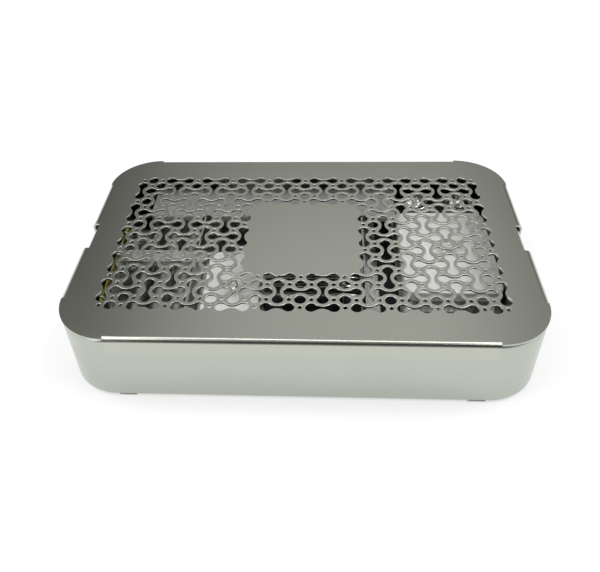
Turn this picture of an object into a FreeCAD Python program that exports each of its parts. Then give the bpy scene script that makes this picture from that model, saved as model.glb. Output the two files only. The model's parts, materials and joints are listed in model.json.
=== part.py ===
"""Sterilization container: a base tub, a perforated lift-off lid and a lift-out instrument insert.

Millimetres, +Z up, +X along the long side, the front at -Y.
The origin is on the surface that the container stands on, under the middle of the lid.
Every size below is one cell of the spreadsheet "sizes"; sketches, features and placements are bound
to those cells by expressions, and the perforated grille is worked out from them in code.
"""
import FreeCAD
import Part
import Sketcher

import math
import os

SIZES = (
    # The lid's hole lattice
    ("pitch", 5.5, "spacing of the lattice sites, along and across"),
    ("hole_columns", 37, "lattice sites along the lid"),
    ("hole_rows", 21, "lattice sites across the lid"),
    ("panel_margin_columns", 13, "perforated columns at each side of the plain centre panel"),
    ("panel_margin_rows", 5, "perforated rows in front of and behind the plain centre panel"),
    ("large_hole_radius", 2.94, "large round holes"),
    ("small_hole_radius", 1.15, "small round holes"),
    ("waist_half_width", 0.83, "half the narrowest width of a slot that joins two large holes"),
    ("grille_margin", 5.0, "from the outermost hole centres to the edge of the perforated sheet"),
    # The base tub
    ("base_length", 237.4, "over the walls"),
    ("base_width", 154.4, "over the walls"),
    ("base_height", 40.2, "underside to the top of the lip"),
    ("base_corner", 27.0, "outer radius of the vertical corners"),
    ("base_sheet", 1.0, "sheet of the tub"),
    ("shoulder_radius", 4.5, "outer radius where the wall rolls in to the lip"),
    ("base_bottom_radius", 1.5, "outer radius where the wall meets the floor"),
    ("lip_reach", 8.0, "from the outer wall to the edge of the mouth"),
    ("foot_length", 10.0, "foot pads, along the wall"),
    ("foot_width", 5.0, "foot pads, inwards from the wall"),
    ("foot_height", 0.8, "foot pads"),
    ("foot_corner", 1.5, "rounding of the foot pads"),
    ("foot_inset", 0.4, "from the outer wall to the foot pads"),
    # The lid
    ("lid_sheet", 1.0, "sheet of the lid"),
    ("lid_clearance", 0.3, "between the lid's skirts and the tub's walls"),
    ("lid_bend", 2.0, "inner radius of the folds along the skirts"),
    ("skirt_depth", 9.5, "lid top to the lower edge of the skirts"),
    ("skirt_corner", 1.5, "rounding of the lower corners of the skirts"),
    ("notch_length", 21.5, "finger notch in each short side"),
    ("notch_depth", 4.1, "finger notch, inwards from the skirt"),
    ("notch_corner", 0.8, "rounding inside the finger notch"),
    # The floor mat and the insert tray
    ("mat_clearance", 3.0, "between the mat and the tub's walls"),
    ("mat_thickness", 2.0, "floor mat"),
    ("insert_clearance", 1.7, "between the insert tray and the tub's mouth"),
    ("insert_sheet", 1.0, "sheet of the tray, dividers and brackets"),
    ("insert_bend", 1.0, "inner radius of the tray's, dividers' and brackets' folds"),
    ("skid_height", 5.0, "mat to the underside of the tray's plate"),
    ("skid_length", 190.0, "folded skids along the long sides"),
    ("skid_arch_length", 120.0, "cut-out that leaves two runners on each skid"),
    ("skid_arch_height", 3.2, "the same cut-out"),
    ("skid_arch_corner", 1.5, "rounding of the same cut-out"),
    ("end_flange_width", 90.0, "upright flange at each end of the tray"),
    ("end_flange_height", 16.0, "above the plate"),
    ("end_flange_corner", 8.0, "rounding of its upper corners"),
    ("grip_length", 32.0, "grip slot in each end flange"),
    ("grip_height", 6.0, "the same slot"),
    ("grip_corner", 2.7, "rounding of the grip slot"),
    ("grip_drop", 3.0, "top of the end flange to the grip slot"),
    # Bays, measured inwards from the ends of the tray
    ("left_bay", 49.0, "left end to the left divider"),
    ("right_bay", 75.9, "right end to the right divider"),
    ("divider_length", 110.0, "along the tray's width"),
    ("divider_height", 20.5, "above the plate"),
    ("divider_corner", 6.0, "rounding of the upper corners"),
    ("divider_foot", 7.0, "folded foot of a divider, over its outer face"),
    ("window_width", 116.0, "tray windows, along the tray's width"),
    ("window_corner", 4.0, "rounding of the tray windows"),
    ("centre_window_left", 13.0, "left parts box to the centre window"),
    ("centre_window_right", 11.0, "centre window to the right divider"),
    ("right_window_gap", 2.5, "divider's foot to the right window, and window to the parts box"),
    # The instruments and what holds them
    ("bracket_spacing", 80.0, "front rest bracket to rear rest bracket, middle to middle"),
    ("bracket_foot", 8.0, "folded foot of a bracket"),
    ("bracket_inset", 2.0, "bracket ends to the end flange and to the divider"),
    ("comb_thickness", 5.0, "silicone combs over the brackets"),
    ("comb_bottom", 2.2, "above the plate"),
    ("comb_top", 12.2, "above the plate"),
    ("comb_clearance", 0.1, "comb slot over the bracket"),
    ("notch_floor", 1.4, "silicone between an instrument and the bracket"),
    ("comb_gap", 10.5, "rod axis to the left end of the combs"),
    ("comb_end", 3.0, "right end of the combs to the divider"),
    ("instrument_height", 10.2, "instrument axes above the plate"),
    ("instrument_spacing", 11.5, "axis to axis"),
    ("instrument_start", 15.5, "rod axis to the first instrument's axis"),
    ("instrument_clearance", 0.2, "instrument to its notch"),
    ("grip_radius", 3.5, "instrument grips"),
    ("grip_end", 52.0, "middle of the tray to the rear end of the grips"),
    ("groove_depth", 0.35, "turned grooves at both ends of the knurled part of a grip"),
    ("groove_width", 0.8, "the same grooves"),
    ("groove_near", 47.5, "middle of the tray to the groove at the grip's blunt end"),
    ("groove_far", 40.7, "middle of the tray to the other groove"),
    ("neck_radius", 1.7, "instruments, in front of the grip"),
    ("neck_start", 46.0, "middle of the tray to the taper"),
    ("neck_end", 54.0, "middle of the tray to the end of the taper"),
    ("tip_radius", 0.9, "instrument tips"),
    ("tip_end", 65.0, "middle of the tray to the tips"),
    ("rod_inset", 4.0, "left end of the tray to the hinge rod's axis"),
    ("rod_height", 20.2, "hinge rod's axis above the plate"),
    ("rod_radius", 2.0, "hinge rod"),
    ("rod_overhang", 7.0, "front bracket and rear lug to the ends of the rod"),
    ("lug_place", 14.0, "rod's rear lug, behind the tray's middle"),
    ("rod_clearance", 0.05, "rod in the brackets, collars and strap"),
    ("ear_radius", 4.2, "ears around the rod"),
    ("collar_radius", 3.8, "end collars on the rod"),
    ("collar_length", 5.0, "end collars on the rod"),
    ("collar_groove", 0.5, "depth of the collar's finger groove"),
    ("collar_land", 1.25, "collar, at each side of the groove"),
    ("strap_width", 10.0, "retaining strap, along the rod"),
    ("strap_thickness", 1.0, "retaining strap"),
    ("knuckle_radius", 3.4, "strap's knuckle around the rod"),
    ("strap_overhang", 4.0, "strap's tip beyond the left divider"),
    ("strap_tip_corner", 3.0, "rounding of the strap's tip"),
    ("strap_slot_clearance", 0.5, "divider's notch around the strap"),
    ("pad_clearance", 0.3, "strap's pad above the instruments"),
    # The small-parts boxes
    ("box_sheet", 0.8, "sheet of the boxes and covers"),
    ("box_corner", 5.0, "outer radius of their vertical corners"),
    ("box_gap", 8.0, "left divider to the left box"),
    ("left_box_length", 28.0, "left box, along the tray"),
    ("left_box_width", 64.0, "left box"),
    ("left_box_middle", -26.0, "left box's middle, behind the tray's middle"),
    ("right_box_end", 3.5, "right end of the tray to the right box"),
    ("right_box_length", 49.5, "right box, along the tray"),
    ("right_box_width", 69.0, "right box"),
    ("right_box_middle", 10.0, "right box's middle, behind the tray's middle"),
    ("box_height", 14.4, "boxes"),
    ("cover_clearance", 0.4, "cover over box"),
    ("cover_depth", 6.0, "cover's skirt"),
    ("cover_edge", 0.7, "rounding of the cover's upper edge"),
    ("knob_radius", 4.2, "cover knobs"),
    ("knob_neck", 2.2, "cover knobs"),
    ("knob_height", 5.2, "cover knobs"),
    ("knob_head", 2.4, "thickness of the knob's head"),
    # The cup holder with its cups
    ("holder_length", 49.5, "along the tray"),
    ("holder_width", 19.0, "cup holder"),
    ("holder_height", 10.0, "above the plate"),
    ("holder_gap", 1.5, "right box's cover to the holder"),
    ("holder_corner", 8.0, "rounding of the holder's vertical corners"),
    ("cup_spacing", 27.0, "cup to cup"),
    ("cup_radius", 7.0, "cups, in the holder"),
    ("cup_rim_radius", 8.2, "rim of the cups"),
    ("cup_rim", 1.2, "thickness of the rim"),
    ("cup_height", 12.5, "cups"),
    ("cup_rise", 5.5, "top of the holder to the top of the cups"),
    ("cup_bowl_radius", 5.6, "bowl of the cups"),
    ("cup_bowl_depth", 8.0, "bowl of the cups"),
    ("cup_clearance", 0.1, "cup in its bore"),
    # The centre rests with their probes
    ("rest_length", 8.0, "along the tray"),
    ("rest_width", 26.0, "centre rests"),
    ("rest_height", 12.0, "above the plate"),
    ("rest_gap", 1.5, "centre window to the rests"),
    ("rest_middle", -17.0, "middle of the rests, behind the tray's middle"),
    ("rest_corner", 1.5, "rounding of the rests"),
    ("probe_count", 3, "probes"),
    ("probe_spacing", 7.0, "probe to probe"),
    ("probe_height", 11.0, "probe axes above the plate"),
    ("probe_radius", 1.5, "probes"),
    ("probe_tip_radius", 0.5, "probes"),
    ("probe_taper", 12.0, "length of the probe's tapered tip"),
    ("probe_overhang", 0.5, "probe's blunt end beyond the left rest"),
    # Pegs and rivets
    ("peg_radius", 1.6, "pegs under the rests and the holder"),
    ("peg_clearance", 0.1, "pegs in the tray"),
    ("peg_spacing", 16.0, "rest pegs, one behind the other"),
    ("holder_peg_spacing", 34.0, "holder pegs, side by side"),
    ("rivet_radius", 1.2, "rivet shanks"),
    ("rivet_clearance", 0.05, "rivet shanks in their holes"),
    ("rivet_head_radius", 2.1, "rivet heads"),
    ("rivet_head", 0.8, "height of a rivet head"),
    ("peg_reach", 0.7, "pegs below the tray's plate"),
    ("divider_rivet_spacing", 44.0, "rivets along a divider's foot"),
    ("bracket_rivet_spacing", 28.0, "rivets along a bracket's foot"),
)

# Planes and places that several pieces share, as expressions of the spreadsheet's cells
BASE_HALF_LENGTH = "(sizes.base_length / 2)"
BASE_HALF_WIDTH = "(sizes.base_width / 2)"
CORNER_X = "(sizes.base_length / 2 - sizes.base_corner)"
CORNER_Y = "(sizes.base_width / 2 - sizes.base_corner)"
BASE_BOTTOM = "sizes.foot_height"
BASE_FLOOR = "(sizes.foot_height + sizes.base_sheet)"
LIP_TOP = "(sizes.foot_height + sizes.base_height)"
LID_TOP = f"({LIP_TOP} + sizes.lid_sheet)"
LID_MIDDLE = f"({LIP_TOP} + sizes.lid_sheet / 2)"
SKIRT_BOTTOM = f"({LID_TOP} - sizes.skirt_depth)"
LID_HALF_LENGTH = f"({BASE_HALF_LENGTH} + sizes.lid_clearance + sizes.lid_sheet)"
LID_HALF_WIDTH = f"({BASE_HALF_WIDTH} + sizes.lid_clearance + sizes.lid_sheet)"
GRILLE_HALF_LENGTH = "((sizes.hole_columns - 1) / 2 * sizes.pitch + sizes.grille_margin)"
GRILLE_HALF_WIDTH = "((sizes.hole_rows - 1) / 2 * sizes.pitch + sizes.grille_margin)"
MAT_TOP = f"({BASE_FLOOR} + sizes.mat_thickness)"
PLATE_BOTTOM = f"({MAT_TOP} + sizes.skid_height)"
PLATE_TOP = f"({PLATE_BOTTOM} + sizes.insert_sheet)"
PLATE_MIDDLE = f"({PLATE_BOTTOM} + sizes.insert_sheet / 2)"
FOOT_TOP = f"({PLATE_TOP} + sizes.insert_sheet)"
INSERT_HALF_LENGTH = f"({BASE_HALF_LENGTH} - sizes.lip_reach - sizes.insert_clearance)"
INSERT_HALF_WIDTH = f"({BASE_HALF_WIDTH} - sizes.lip_reach - sizes.insert_clearance)"
END_FLANGE_TOP = f"({PLATE_TOP} + sizes.end_flange_height)"
LEFT_DIVIDER = f"(sizes.left_bay - {INSERT_HALF_LENGTH})"
RIGHT_DIVIDER = f"({INSERT_HALF_LENGTH} - sizes.right_bay)"
DIVIDER_TOP = f"({PLATE_TOP} + sizes.divider_height)"
ROD_X = f"(sizes.rod_inset - {INSERT_HALF_LENGTH})"
ROD_Z = f"({PLATE_TOP} + sizes.rod_height)"
INSTRUMENT_Z = f"({PLATE_TOP} + sizes.instrument_height)"
NOTCH_RADIUS = "(sizes.grip_radius + sizes.instrument_clearance)"
BRACKET_TOP = f"({INSTRUMENT_Z} - {NOTCH_RADIUS} - sizes.notch_floor)"
BRACKET_START = f"(sizes.insert_sheet + sizes.bracket_inset - {INSERT_HALF_LENGTH})"
BRACKET_END = f"({LEFT_DIVIDER} - sizes.bracket_inset)"
EAR_END = f"({ROD_X} + sizes.ear_radius)"
STRAP_BOTTOM = f"({ROD_Z} - sizes.knuckle_radius)"
STRAP_TOP = f"({STRAP_BOTTOM} + sizes.strap_thickness)"
LEFT_BOX_START = f"({LEFT_DIVIDER} + sizes.box_gap)"
LEFT_BOX_X = f"({LEFT_BOX_START} + sizes.left_box_length / 2)"
RIGHT_BOX_X = f"({INSERT_HALF_LENGTH} - sizes.right_box_end - sizes.right_box_length / 2)"
BOX_TOP = f"({PLATE_TOP} + sizes.box_height)"
COVER_TOP = f"({BOX_TOP} + sizes.box_sheet)"
COVER_GROWTH = "(sizes.cover_clearance + sizes.box_sheet)"
CENTRE_WINDOW_START = f"({LEFT_BOX_START} + sizes.left_box_length + sizes.centre_window_left)"
CENTRE_WINDOW_END = f"({RIGHT_DIVIDER} - sizes.centre_window_right)"
RIGHT_WINDOW_START = f"({RIGHT_DIVIDER} + sizes.divider_foot + sizes.right_window_gap)"
RIGHT_WINDOW_END = f"({RIGHT_BOX_X} - sizes.right_box_length / 2 - sizes.right_window_gap)"
HOLDER_Y = (
    f"(sizes.right_box_middle + sizes.right_box_width / 2 + {COVER_GROWTH}"
    " + sizes.holder_gap + sizes.holder_width / 2)"
)
HOLDER_TOP = f"({PLATE_TOP} + sizes.holder_height)"
CUP_BOTTOM = f"({HOLDER_TOP} + sizes.cup_rise - sizes.cup_height)"
LEFT_REST_X = f"({CENTRE_WINDOW_START} - sizes.rest_gap - sizes.rest_length / 2)"
RIGHT_REST_X = f"({CENTRE_WINDOW_END} + sizes.rest_gap + sizes.rest_length / 2)"

PLANES = {"XY": ("XY_Plane", 1), "XZ": ("XZ_Plane", -1), "YZ": ("YZ_Plane", 1)}
INSTRUMENTS = ("left", "middle", "right")
QUARTER_TURN = math.pi / 2
MATCH = 1e-4
BEYOND = 2.0

document = FreeCAD.newDocument("sterilization_container")
sizes = document.addObject("Spreadsheet::Sheet", "sizes")
for row, (alias, number, meaning) in enumerate(SIZES, start=1):
    sizes.set(f"A{row}", meaning)
    sizes.set(f"B{row}", str(number))
    sizes.setAlias(f"B{row}", alias)
document.recompute()
nodes = []


# Helpers for sketches

def value(expression):
    """The present value of an expression, in millimetres."""
    return float(sizes.evalExpression(str(expression).replace("sizes.", "")))


def bind(sketch, constraint, expression):
    """Add a dimension to a sketch and tie it to an expression."""
    index = sketch.addConstraint(constraint)
    name = f"size_{index}"
    sketch.renameConstraint(index, name)
    sketch.setExpression(f"Constraints.{name}", expression)


def place_point(sketch, geometry, point, across, up):
    """Tie one point of a sketch to its distances from the sketch's origin."""
    for kind, axis, expression in (("DistanceX", -2, across), ("DistanceY", -1, up)):
        if expression == "0":
            sketch.addConstraint(Sketcher.Constraint("PointOnObject", geometry, point, axis))
        else:
            bind(sketch, Sketcher.Constraint(kind, -1, 1, geometry, point, value(expression)), expression)


def new_body(name):
    """A body whose name is also its label."""
    return document.addObject("PartDesign::Body", name)


def sketch_on(body, plane, offset="0"):
    """A sketch on one of the body's origin planes, moved along +Z, +Y or +X by offset."""
    role, sign = PLANES[plane]
    sketch = body.newObject("Sketcher::SketchObject", f"{body.Name}_sketch")
    support = next(item for item in body.Origin.OriginFeatures if item.Role == role)
    sketch.AttachmentSupport = (support, [""])
    sketch.MapMode = "FlatFace"
    sketch.setExpression("AttachmentOffset.Base.z", f"{sign} * ({offset})")
    return sketch


def polygon(sketch, corners):
    """A closed outline through corners, each a pair of expressions."""
    points = [FreeCAD.Vector(value(across), value(up), 0) for across, up in corners]
    lines = [
        sketch.addGeometry(Part.LineSegment(start, end), False)
        for start, end in zip(points, points[1:] + points[:1])
    ]
    for line, following, (across, up) in zip(lines, lines[1:] + lines[:1], corners):
        sketch.addConstraint(Sketcher.Constraint("Coincident", line, 2, following, 1))
        place_point(sketch, line, 1, across, up)


def circle(sketch, across, up, radius):
    """A circle with its centre and radius tied to expressions."""
    centre = FreeCAD.Vector(value(across), value(up), 0)
    ring = sketch.addGeometry(Part.Circle(centre, FreeCAD.Vector(0, 0, 1), value(radius)), False)
    bind(sketch, Sketcher.Constraint("Radius", ring, value(radius)), radius)
    place_point(sketch, ring, 3, across, up)


def rounded_rectangle(sketch, middle, half_length, half_width, radius):
    """A rectangle with rounded corners about middle, a pair of expressions."""
    across, up = middle
    left, right = f"({across}) - ({half_length})", f"({across}) + ({half_length})"
    low, high = f"({up}) - ({half_width})", f"({up}) + ({half_width})"
    bend = value(radius)
    x_low, x_high, y_low, y_high = value(left), value(right), value(low), value(high)
    normal = FreeCAD.Vector(0, 0, 1)
    sides = (
        ((x_low + bend, y_low), (x_high - bend, y_low)),
        ((x_high, y_low + bend), (x_high, y_high - bend)),
        ((x_high - bend, y_high), (x_low + bend, y_high)),
        ((x_low, y_high - bend), (x_low, y_low + bend)),
    )
    centres = (
        (x_high - bend, y_low + bend),
        (x_high - bend, y_high - bend),
        (x_low + bend, y_high - bend),
        (x_low + bend, y_low + bend),
    )
    lines = []
    arcs = []
    for turn, ((start, end), centre) in enumerate(zip(sides, centres)):
        side = Part.LineSegment(FreeCAD.Vector(*start, 0), FreeCAD.Vector(*end, 0))
        lines.append(sketch.addGeometry(side, False))
        ring = Part.Circle(FreeCAD.Vector(*centre, 0), normal, bend)
        arc = Part.ArcOfCircle(ring, (turn - 1) * QUARTER_TURN, turn * QUARTER_TURN)
        arcs.append(sketch.addGeometry(arc, False))
    for line, arc, following in zip(lines, arcs, lines[1:] + lines[:1]):
        sketch.addConstraint(Sketcher.Constraint("Tangent", line, 2, arc, 1))
        sketch.addConstraint(Sketcher.Constraint("Tangent", arc, 2, following, 1))
    for line in lines[0::2]:
        sketch.addConstraint(Sketcher.Constraint("Horizontal", line))
    for line in lines[1::2]:
        sketch.addConstraint(Sketcher.Constraint("Vertical", line))
    for arc in arcs[1:]:
        sketch.addConstraint(Sketcher.Constraint("Equal", arcs[0], arc))
    bind(sketch, Sketcher.Constraint("Radius", arcs[0], bend), radius)
    bind(sketch, Sketcher.Constraint("DistanceY", -1, 1, lines[0], 1, y_low), low)
    bind(sketch, Sketcher.Constraint("DistanceX", -1, 1, lines[1], 1, x_high), right)
    bind(sketch, Sketcher.Constraint("DistanceY", -1, 1, lines[2], 1, y_high), high)
    bind(sketch, Sketcher.Constraint("DistanceX", -1, 1, lines[3], 1, x_low), left)


# Helpers for features

def both_sides(depth):
    """The length of a pad or pocket that goes this deep on each side of its sketch."""
    return f"2 * ({depth})"


def extrude(body, kind, sketch, depth):
    """A pad or pocket of a sketch, half of depth to each side of its plane."""
    feature = body.newObject(f"PartDesign::{kind}", f"{body.Name}_{kind.lower()}")
    feature.Profile = sketch
    feature.SideType = "Symmetric"
    feature.setExpression("Length", depth)
    return feature


def turn(body, sketch, axis):
    """A full revolution of a sketch about one of its own axes."""
    feature = body.newObject("PartDesign::Revolution", f"{body.Name}_turned")
    feature.Profile = sketch
    feature.ReferenceAxis = (sketch, [axis])
    feature.Angle = 360.0
    return feature


def round_edges(body, radius, wanted):
    """Fillet those edges of the body so far for which wanted(edge) is true."""
    document.recompute()
    base = body.Tip
    names = [f"Edge{number}" for number, edge in enumerate(base.Shape.Edges, start=1) if wanted(edge)]
    feature = body.newObject("PartDesign::Fillet", f"{body.Name}_fillet")
    feature.Base = (base, names)
    feature.setExpression("Radius", radius)
    return feature


def runs_along(axis, **near):
    """A test for straight edges along an axis whose middle lies at the given coordinates."""
    def wanted(edge):
        if not isinstance(edge.Curve, Part.Line):
            return False
        if abs(getattr(edge.Curve.Direction, axis)) < 1 - MATCH:
            return False
        middle = edge.CenterOfMass
        return all(
            any(abs(getattr(middle, name) - place) < MATCH for place in places)
            for name, places in near.items()
        )
    return wanted


def lies_at_height(height):
    """A test for edges that lie wholly in the plane z = height."""
    def wanted(edge):
        box = edge.BoundBox
        return abs(box.ZMin - height) < MATCH and abs(box.ZMax - height) < MATCH
    return wanted


def both(expression):
    """A value and its negative, for features on both sides of the middle."""
    number = value(expression)
    return (-number, number)


def place(item, across="0", back="0", up="0"):
    """Tie an object's position to three expressions."""
    for axis, expression in (("x", across), ("y", back), ("z", up)):
        item.setExpression(f"Placement.Base.{axis}", expression)


def rounded_block(name, middle, half_length, half_width, radius, bottom, top):
    """An upright block with rounded vertical corners."""
    body = new_body(name)
    sketch = sketch_on(body, "XY", f"(({bottom}) + ({top})) / 2")
    rounded_rectangle(sketch, middle, half_length, half_width, radius)
    extrude(body, "Pad", sketch, f"({top}) - ({bottom})")
    return body


def cut(name, base, tool):
    """One object minus another."""
    result = document.addObject("Part::Cut", name)
    result.Base = base
    result.Tool = tool
    return result


def keep(item):
    """Count an object as a sub-part of the container."""
    nodes.append(item)
    return item


# The base tub

def make_base_tub():
    """Drawn tub: straight walls, a rounded shoulder and a flat lip round a rounded mouth."""
    outside = rounded_block(
        "tub_outside", ("0", "0"), BASE_HALF_LENGTH, BASE_HALF_WIDTH, "sizes.base_corner",
        BASE_BOTTOM, LIP_TOP,
    )
    round_edges(outside, "sizes.shoulder_radius", lies_at_height(value(LIP_TOP)))
    round_edges(outside, "sizes.base_bottom_radius", lies_at_height(value(BASE_BOTTOM)))
    ceiling = f"({LIP_TOP} - sizes.base_sheet)"
    hollow = rounded_block(
        "tub_hollow", ("0", "0"), f"{BASE_HALF_LENGTH} - sizes.base_sheet",
        f"{BASE_HALF_WIDTH} - sizes.base_sheet", "sizes.base_corner - sizes.base_sheet",
        BASE_FLOOR, ceiling,
    )
    round_edges(hollow, "sizes.shoulder_radius - sizes.base_sheet", lies_at_height(value(ceiling)))
    round_edges(hollow, "sizes.base_bottom_radius - sizes.base_sheet", lies_at_height(value(BASE_FLOOR)))
    mouth = sketch_on(hollow, "XY", ceiling)
    rounded_rectangle(
        mouth, ("0", "0"), f"{BASE_HALF_LENGTH} - sizes.lip_reach",
        f"{BASE_HALF_WIDTH} - sizes.lip_reach", "sizes.base_corner - sizes.lip_reach",
    )
    extrude(hollow, "Pad", mouth, both_sides("2 * sizes.base_sheet"))
    keep(cut("base_tub", outside, hollow))


def make_feet():
    """Four low pads under the base, where the straight walls meet the corners."""
    reach = f"({BASE_HALF_WIDTH} - sizes.foot_inset - sizes.foot_width / 2)"
    for side, sign_y in (("front", "-1"), ("rear", "1")):
        for end, sign_x in (("left", "-1"), ("right", "1")):
            middle = (f"{sign_x} * ({CORNER_X} - sizes.foot_length / 2)", f"{sign_y} * {reach}")
            keep(rounded_block(
                f"foot_{side}_{end}", middle, "sizes.foot_length / 2", "sizes.foot_width / 2",
                "sizes.foot_corner", "0", BASE_BOTTOM,
            ))


# The lid

def make_lid_frame():
    """The lid's sheet round the perforated field, with four folded skirts and open corners."""
    body = new_body("lid_frame")
    folds = (
        ("YZ", LID_HALF_WIDTH, CORNER_X, "x", "y"),
        ("XZ", LID_HALF_LENGTH, CORNER_Y, "y", "x"),
    )
    for plane, reach, run, along, across in folds:
        inner = f"({reach} - sizes.lid_sheet)"
        sketch = sketch_on(body, plane)
        polygon(sketch, (
            (f"-1 * {reach}", SKIRT_BOTTOM), (f"-1 * {inner}", SKIRT_BOTTOM),
            (f"-1 * {inner}", LIP_TOP), (inner, LIP_TOP),
            (inner, SKIRT_BOTTOM), (reach, SKIRT_BOTTOM),
            (reach, LID_TOP), (f"-1 * {reach}", LID_TOP),
        ))
        extrude(body, "Pad", sketch, both_sides(run))
        outer_edge = {across: both(reach), "z": (value(LID_TOP),)}
        inner_edge = {across: both(inner), "z": (value(LIP_TOP),)}
        round_edges(body, "sizes.lid_bend + sizes.lid_sheet", runs_along(along, **outer_edge))
        round_edges(body, "sizes.lid_bend", runs_along(along, **inner_edge))
        lower_corner = {along: both(run), "z": (value(SKIRT_BOTTOM),)}
        round_edges(body, "sizes.skirt_corner", runs_along(across, **lower_corner))
    corners = sketch_on(body, "XY", LID_MIDDLE)
    add_corner_sectors(corners)
    extrude(body, "Pad", corners, "sizes.lid_sheet")
    notches = sketch_on(body, "XY", LID_TOP)
    for sign in ("-1", "1"):
        rounded_rectangle(
            notches, (f"{sign} * {LID_HALF_LENGTH}", "0"), "sizes.notch_depth",
            "sizes.notch_length / 2", "sizes.notch_corner",
        )
    extrude(body, "Pocket", notches, both_sides("sizes.skirt_depth + sizes.lid_sheet"))
    window = sketch_on(body, "XY", LID_MIDDLE)
    polygon(window, rectangle_corners("0", "0", GRILLE_HALF_LENGTH, GRILLE_HALF_WIDTH))
    extrude(body, "Pocket", window, both_sides("sizes.lid_sheet"))
    keep(body)


def rectangle_corners(across, up, half_length, half_width):
    """The four corners of a rectangle, as pairs of expressions."""
    left, right = f"{across} - {half_length}", f"{across} + {half_length}"
    low, high = f"{up} - {half_width}", f"{up} + {half_width}"
    return ((left, low), (right, low), (right, high), (left, high))


def add_corner_sectors(sketch):
    """The lid's four plain corners: quarter discs between the ends of the skirts."""
    radius = "(sizes.base_corner + sizes.lid_clearance)"
    reach = value(radius)
    for turns, (sign_x, sign_y) in enumerate(((1, 1), (-1, 1), (-1, -1), (1, -1))):
        centre = FreeCAD.Vector(sign_x * value(CORNER_X), sign_y * value(CORNER_Y), 0)
        ring = Part.Circle(centre, FreeCAD.Vector(0, 0, 1), reach)
        arc_shape = Part.ArcOfCircle(ring, turns * QUARTER_TURN, (turns + 1) * QUARTER_TURN)
        arc = sketch.addGeometry(arc_shape, False)
        inward = sketch.addGeometry(Part.LineSegment(arc_shape.EndPoint, centre), False)
        outward = sketch.addGeometry(Part.LineSegment(centre, arc_shape.StartPoint), False)
        sketch.addConstraint(Sketcher.Constraint("Coincident", arc, 2, inward, 1))
        sketch.addConstraint(Sketcher.Constraint("Coincident", inward, 2, outward, 1))
        sketch.addConstraint(Sketcher.Constraint("Coincident", outward, 2, arc, 1))
        sketch.addConstraint(Sketcher.Constraint("Coincident", arc, 3, inward, 2))
        level, upright = (inward, outward) if turns % 2 else (outward, inward)
        sketch.addConstraint(Sketcher.Constraint("Horizontal", level))
        sketch.addConstraint(Sketcher.Constraint("Vertical", upright))
        bind(sketch, Sketcher.Constraint("Radius", arc, reach), radius)
        place_point(sketch, arc, 3, f"{sign_x} * {CORNER_X}", f"{sign_y} * {CORNER_Y}")


class HoleLattice:
    """The rule of the lid's perforation.

    Sites whose column and row add up to an odd number are large round holes. Sites with both numbers
    odd are small round holes. At the rest, a slot with a narrow waist joins the two large holes beside
    the site: along the lid and across it by turns, like a chequerboard. Where a neighbour lies
    outside the field or in the plain centre panel, the site is a small hole instead.
    """

    def __init__(self):
        self.pitch = value("sizes.pitch")
        self.columns = int(value("sizes.hole_columns"))
        self.rows = int(value("sizes.hole_rows"))
        self.margin_columns = int(value("sizes.panel_margin_columns"))
        self.margin_rows = int(value("sizes.panel_margin_rows"))
        self.large = value("sizes.large_hole_radius")
        self.small = value("sizes.small_hole_radius")
        self.waist = value("sizes.waist_half_width")

    def is_hole(self, column, row):
        """Whether a site is in the field and outside the plain centre panel."""
        in_field = 0 <= column < self.columns and 0 <= row < self.rows
        beside_panel = not self.margin_columns <= column < self.columns - self.margin_columns
        past_panel = not self.margin_rows <= row < self.rows - self.margin_rows
        return in_field and (beside_panel or past_panel)

    def centre(self, column, row):
        """The place of a site, with the field centred on the lid."""
        across = (column - (self.columns - 1) / 2) * self.pitch
        return FreeCAD.Vector(across, (row - (self.rows - 1) / 2) * self.pitch, 0)

    def round_hole(self, centre, radius):
        """A closed circle."""
        return Part.Wire([Part.Circle(centre, FreeCAD.Vector(0, 0, 1), radius).toShape()])

    def waisted_slot(self, centre, along):
        """Two large holes and the smooth waist between them, as four tangent arcs."""
        across = FreeCAD.Vector(-along.y, along.x, 0)
        neck = (self.pitch ** 2 + self.waist ** 2 - self.large ** 2) / (2 * (self.large - self.waist))
        lift = neck + self.waist
        share = self.large / (self.large + neck)
        left, right = centre - along * self.pitch, centre + along * self.pitch
        upper, lower = centre + across * lift, centre - across * lift
        left_upper, left_lower = left + (upper - left) * share, left + (lower - left) * share
        right_upper, right_lower = right + (upper - right) * share, right + (lower - right) * share
        arcs = (
            (left_upper, left - along * self.large, left_lower),
            (left_lower, centre - across * self.waist, right_lower),
            (right_lower, right + along * self.large, right_upper),
            (right_upper, centre + across * self.waist, left_upper),
        )
        return Part.Wire([Part.Arc(*points).toShape() for points in arcs])

    def outlines(self):
        """Every hole of the field, each a closed outline in the plane z = 0."""
        sites = [(c, r) for c in range(self.columns) for r in range(self.rows) if self.is_hole(c, r)]
        slots = []
        joined = set()
        small_sites = []
        for column, row in sites:
            if (column + row) % 2:
                continue
            step = (1, 0) if (column + row) % 4 == 0 else (0, 1)
            ends = [(column - step[0], row - step[1]), (column + step[0], row + step[1])]
            if column % 2 == 0 and all(self.is_hole(*end) for end in ends):
                slots.append(self.waisted_slot(self.centre(column, row), FreeCAD.Vector(*step, 0)))
                joined.update(ends)
            else:
                small_sites.append((column, row))
        singles = [(c, r) for c, r in sites if (c + r) % 2 and (c, r) not in joined]
        large = [self.round_hole(self.centre(*site), self.large) for site in singles]
        small = [self.round_hole(self.centre(*site), self.small) for site in small_sites]
        return slots + large + small


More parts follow.
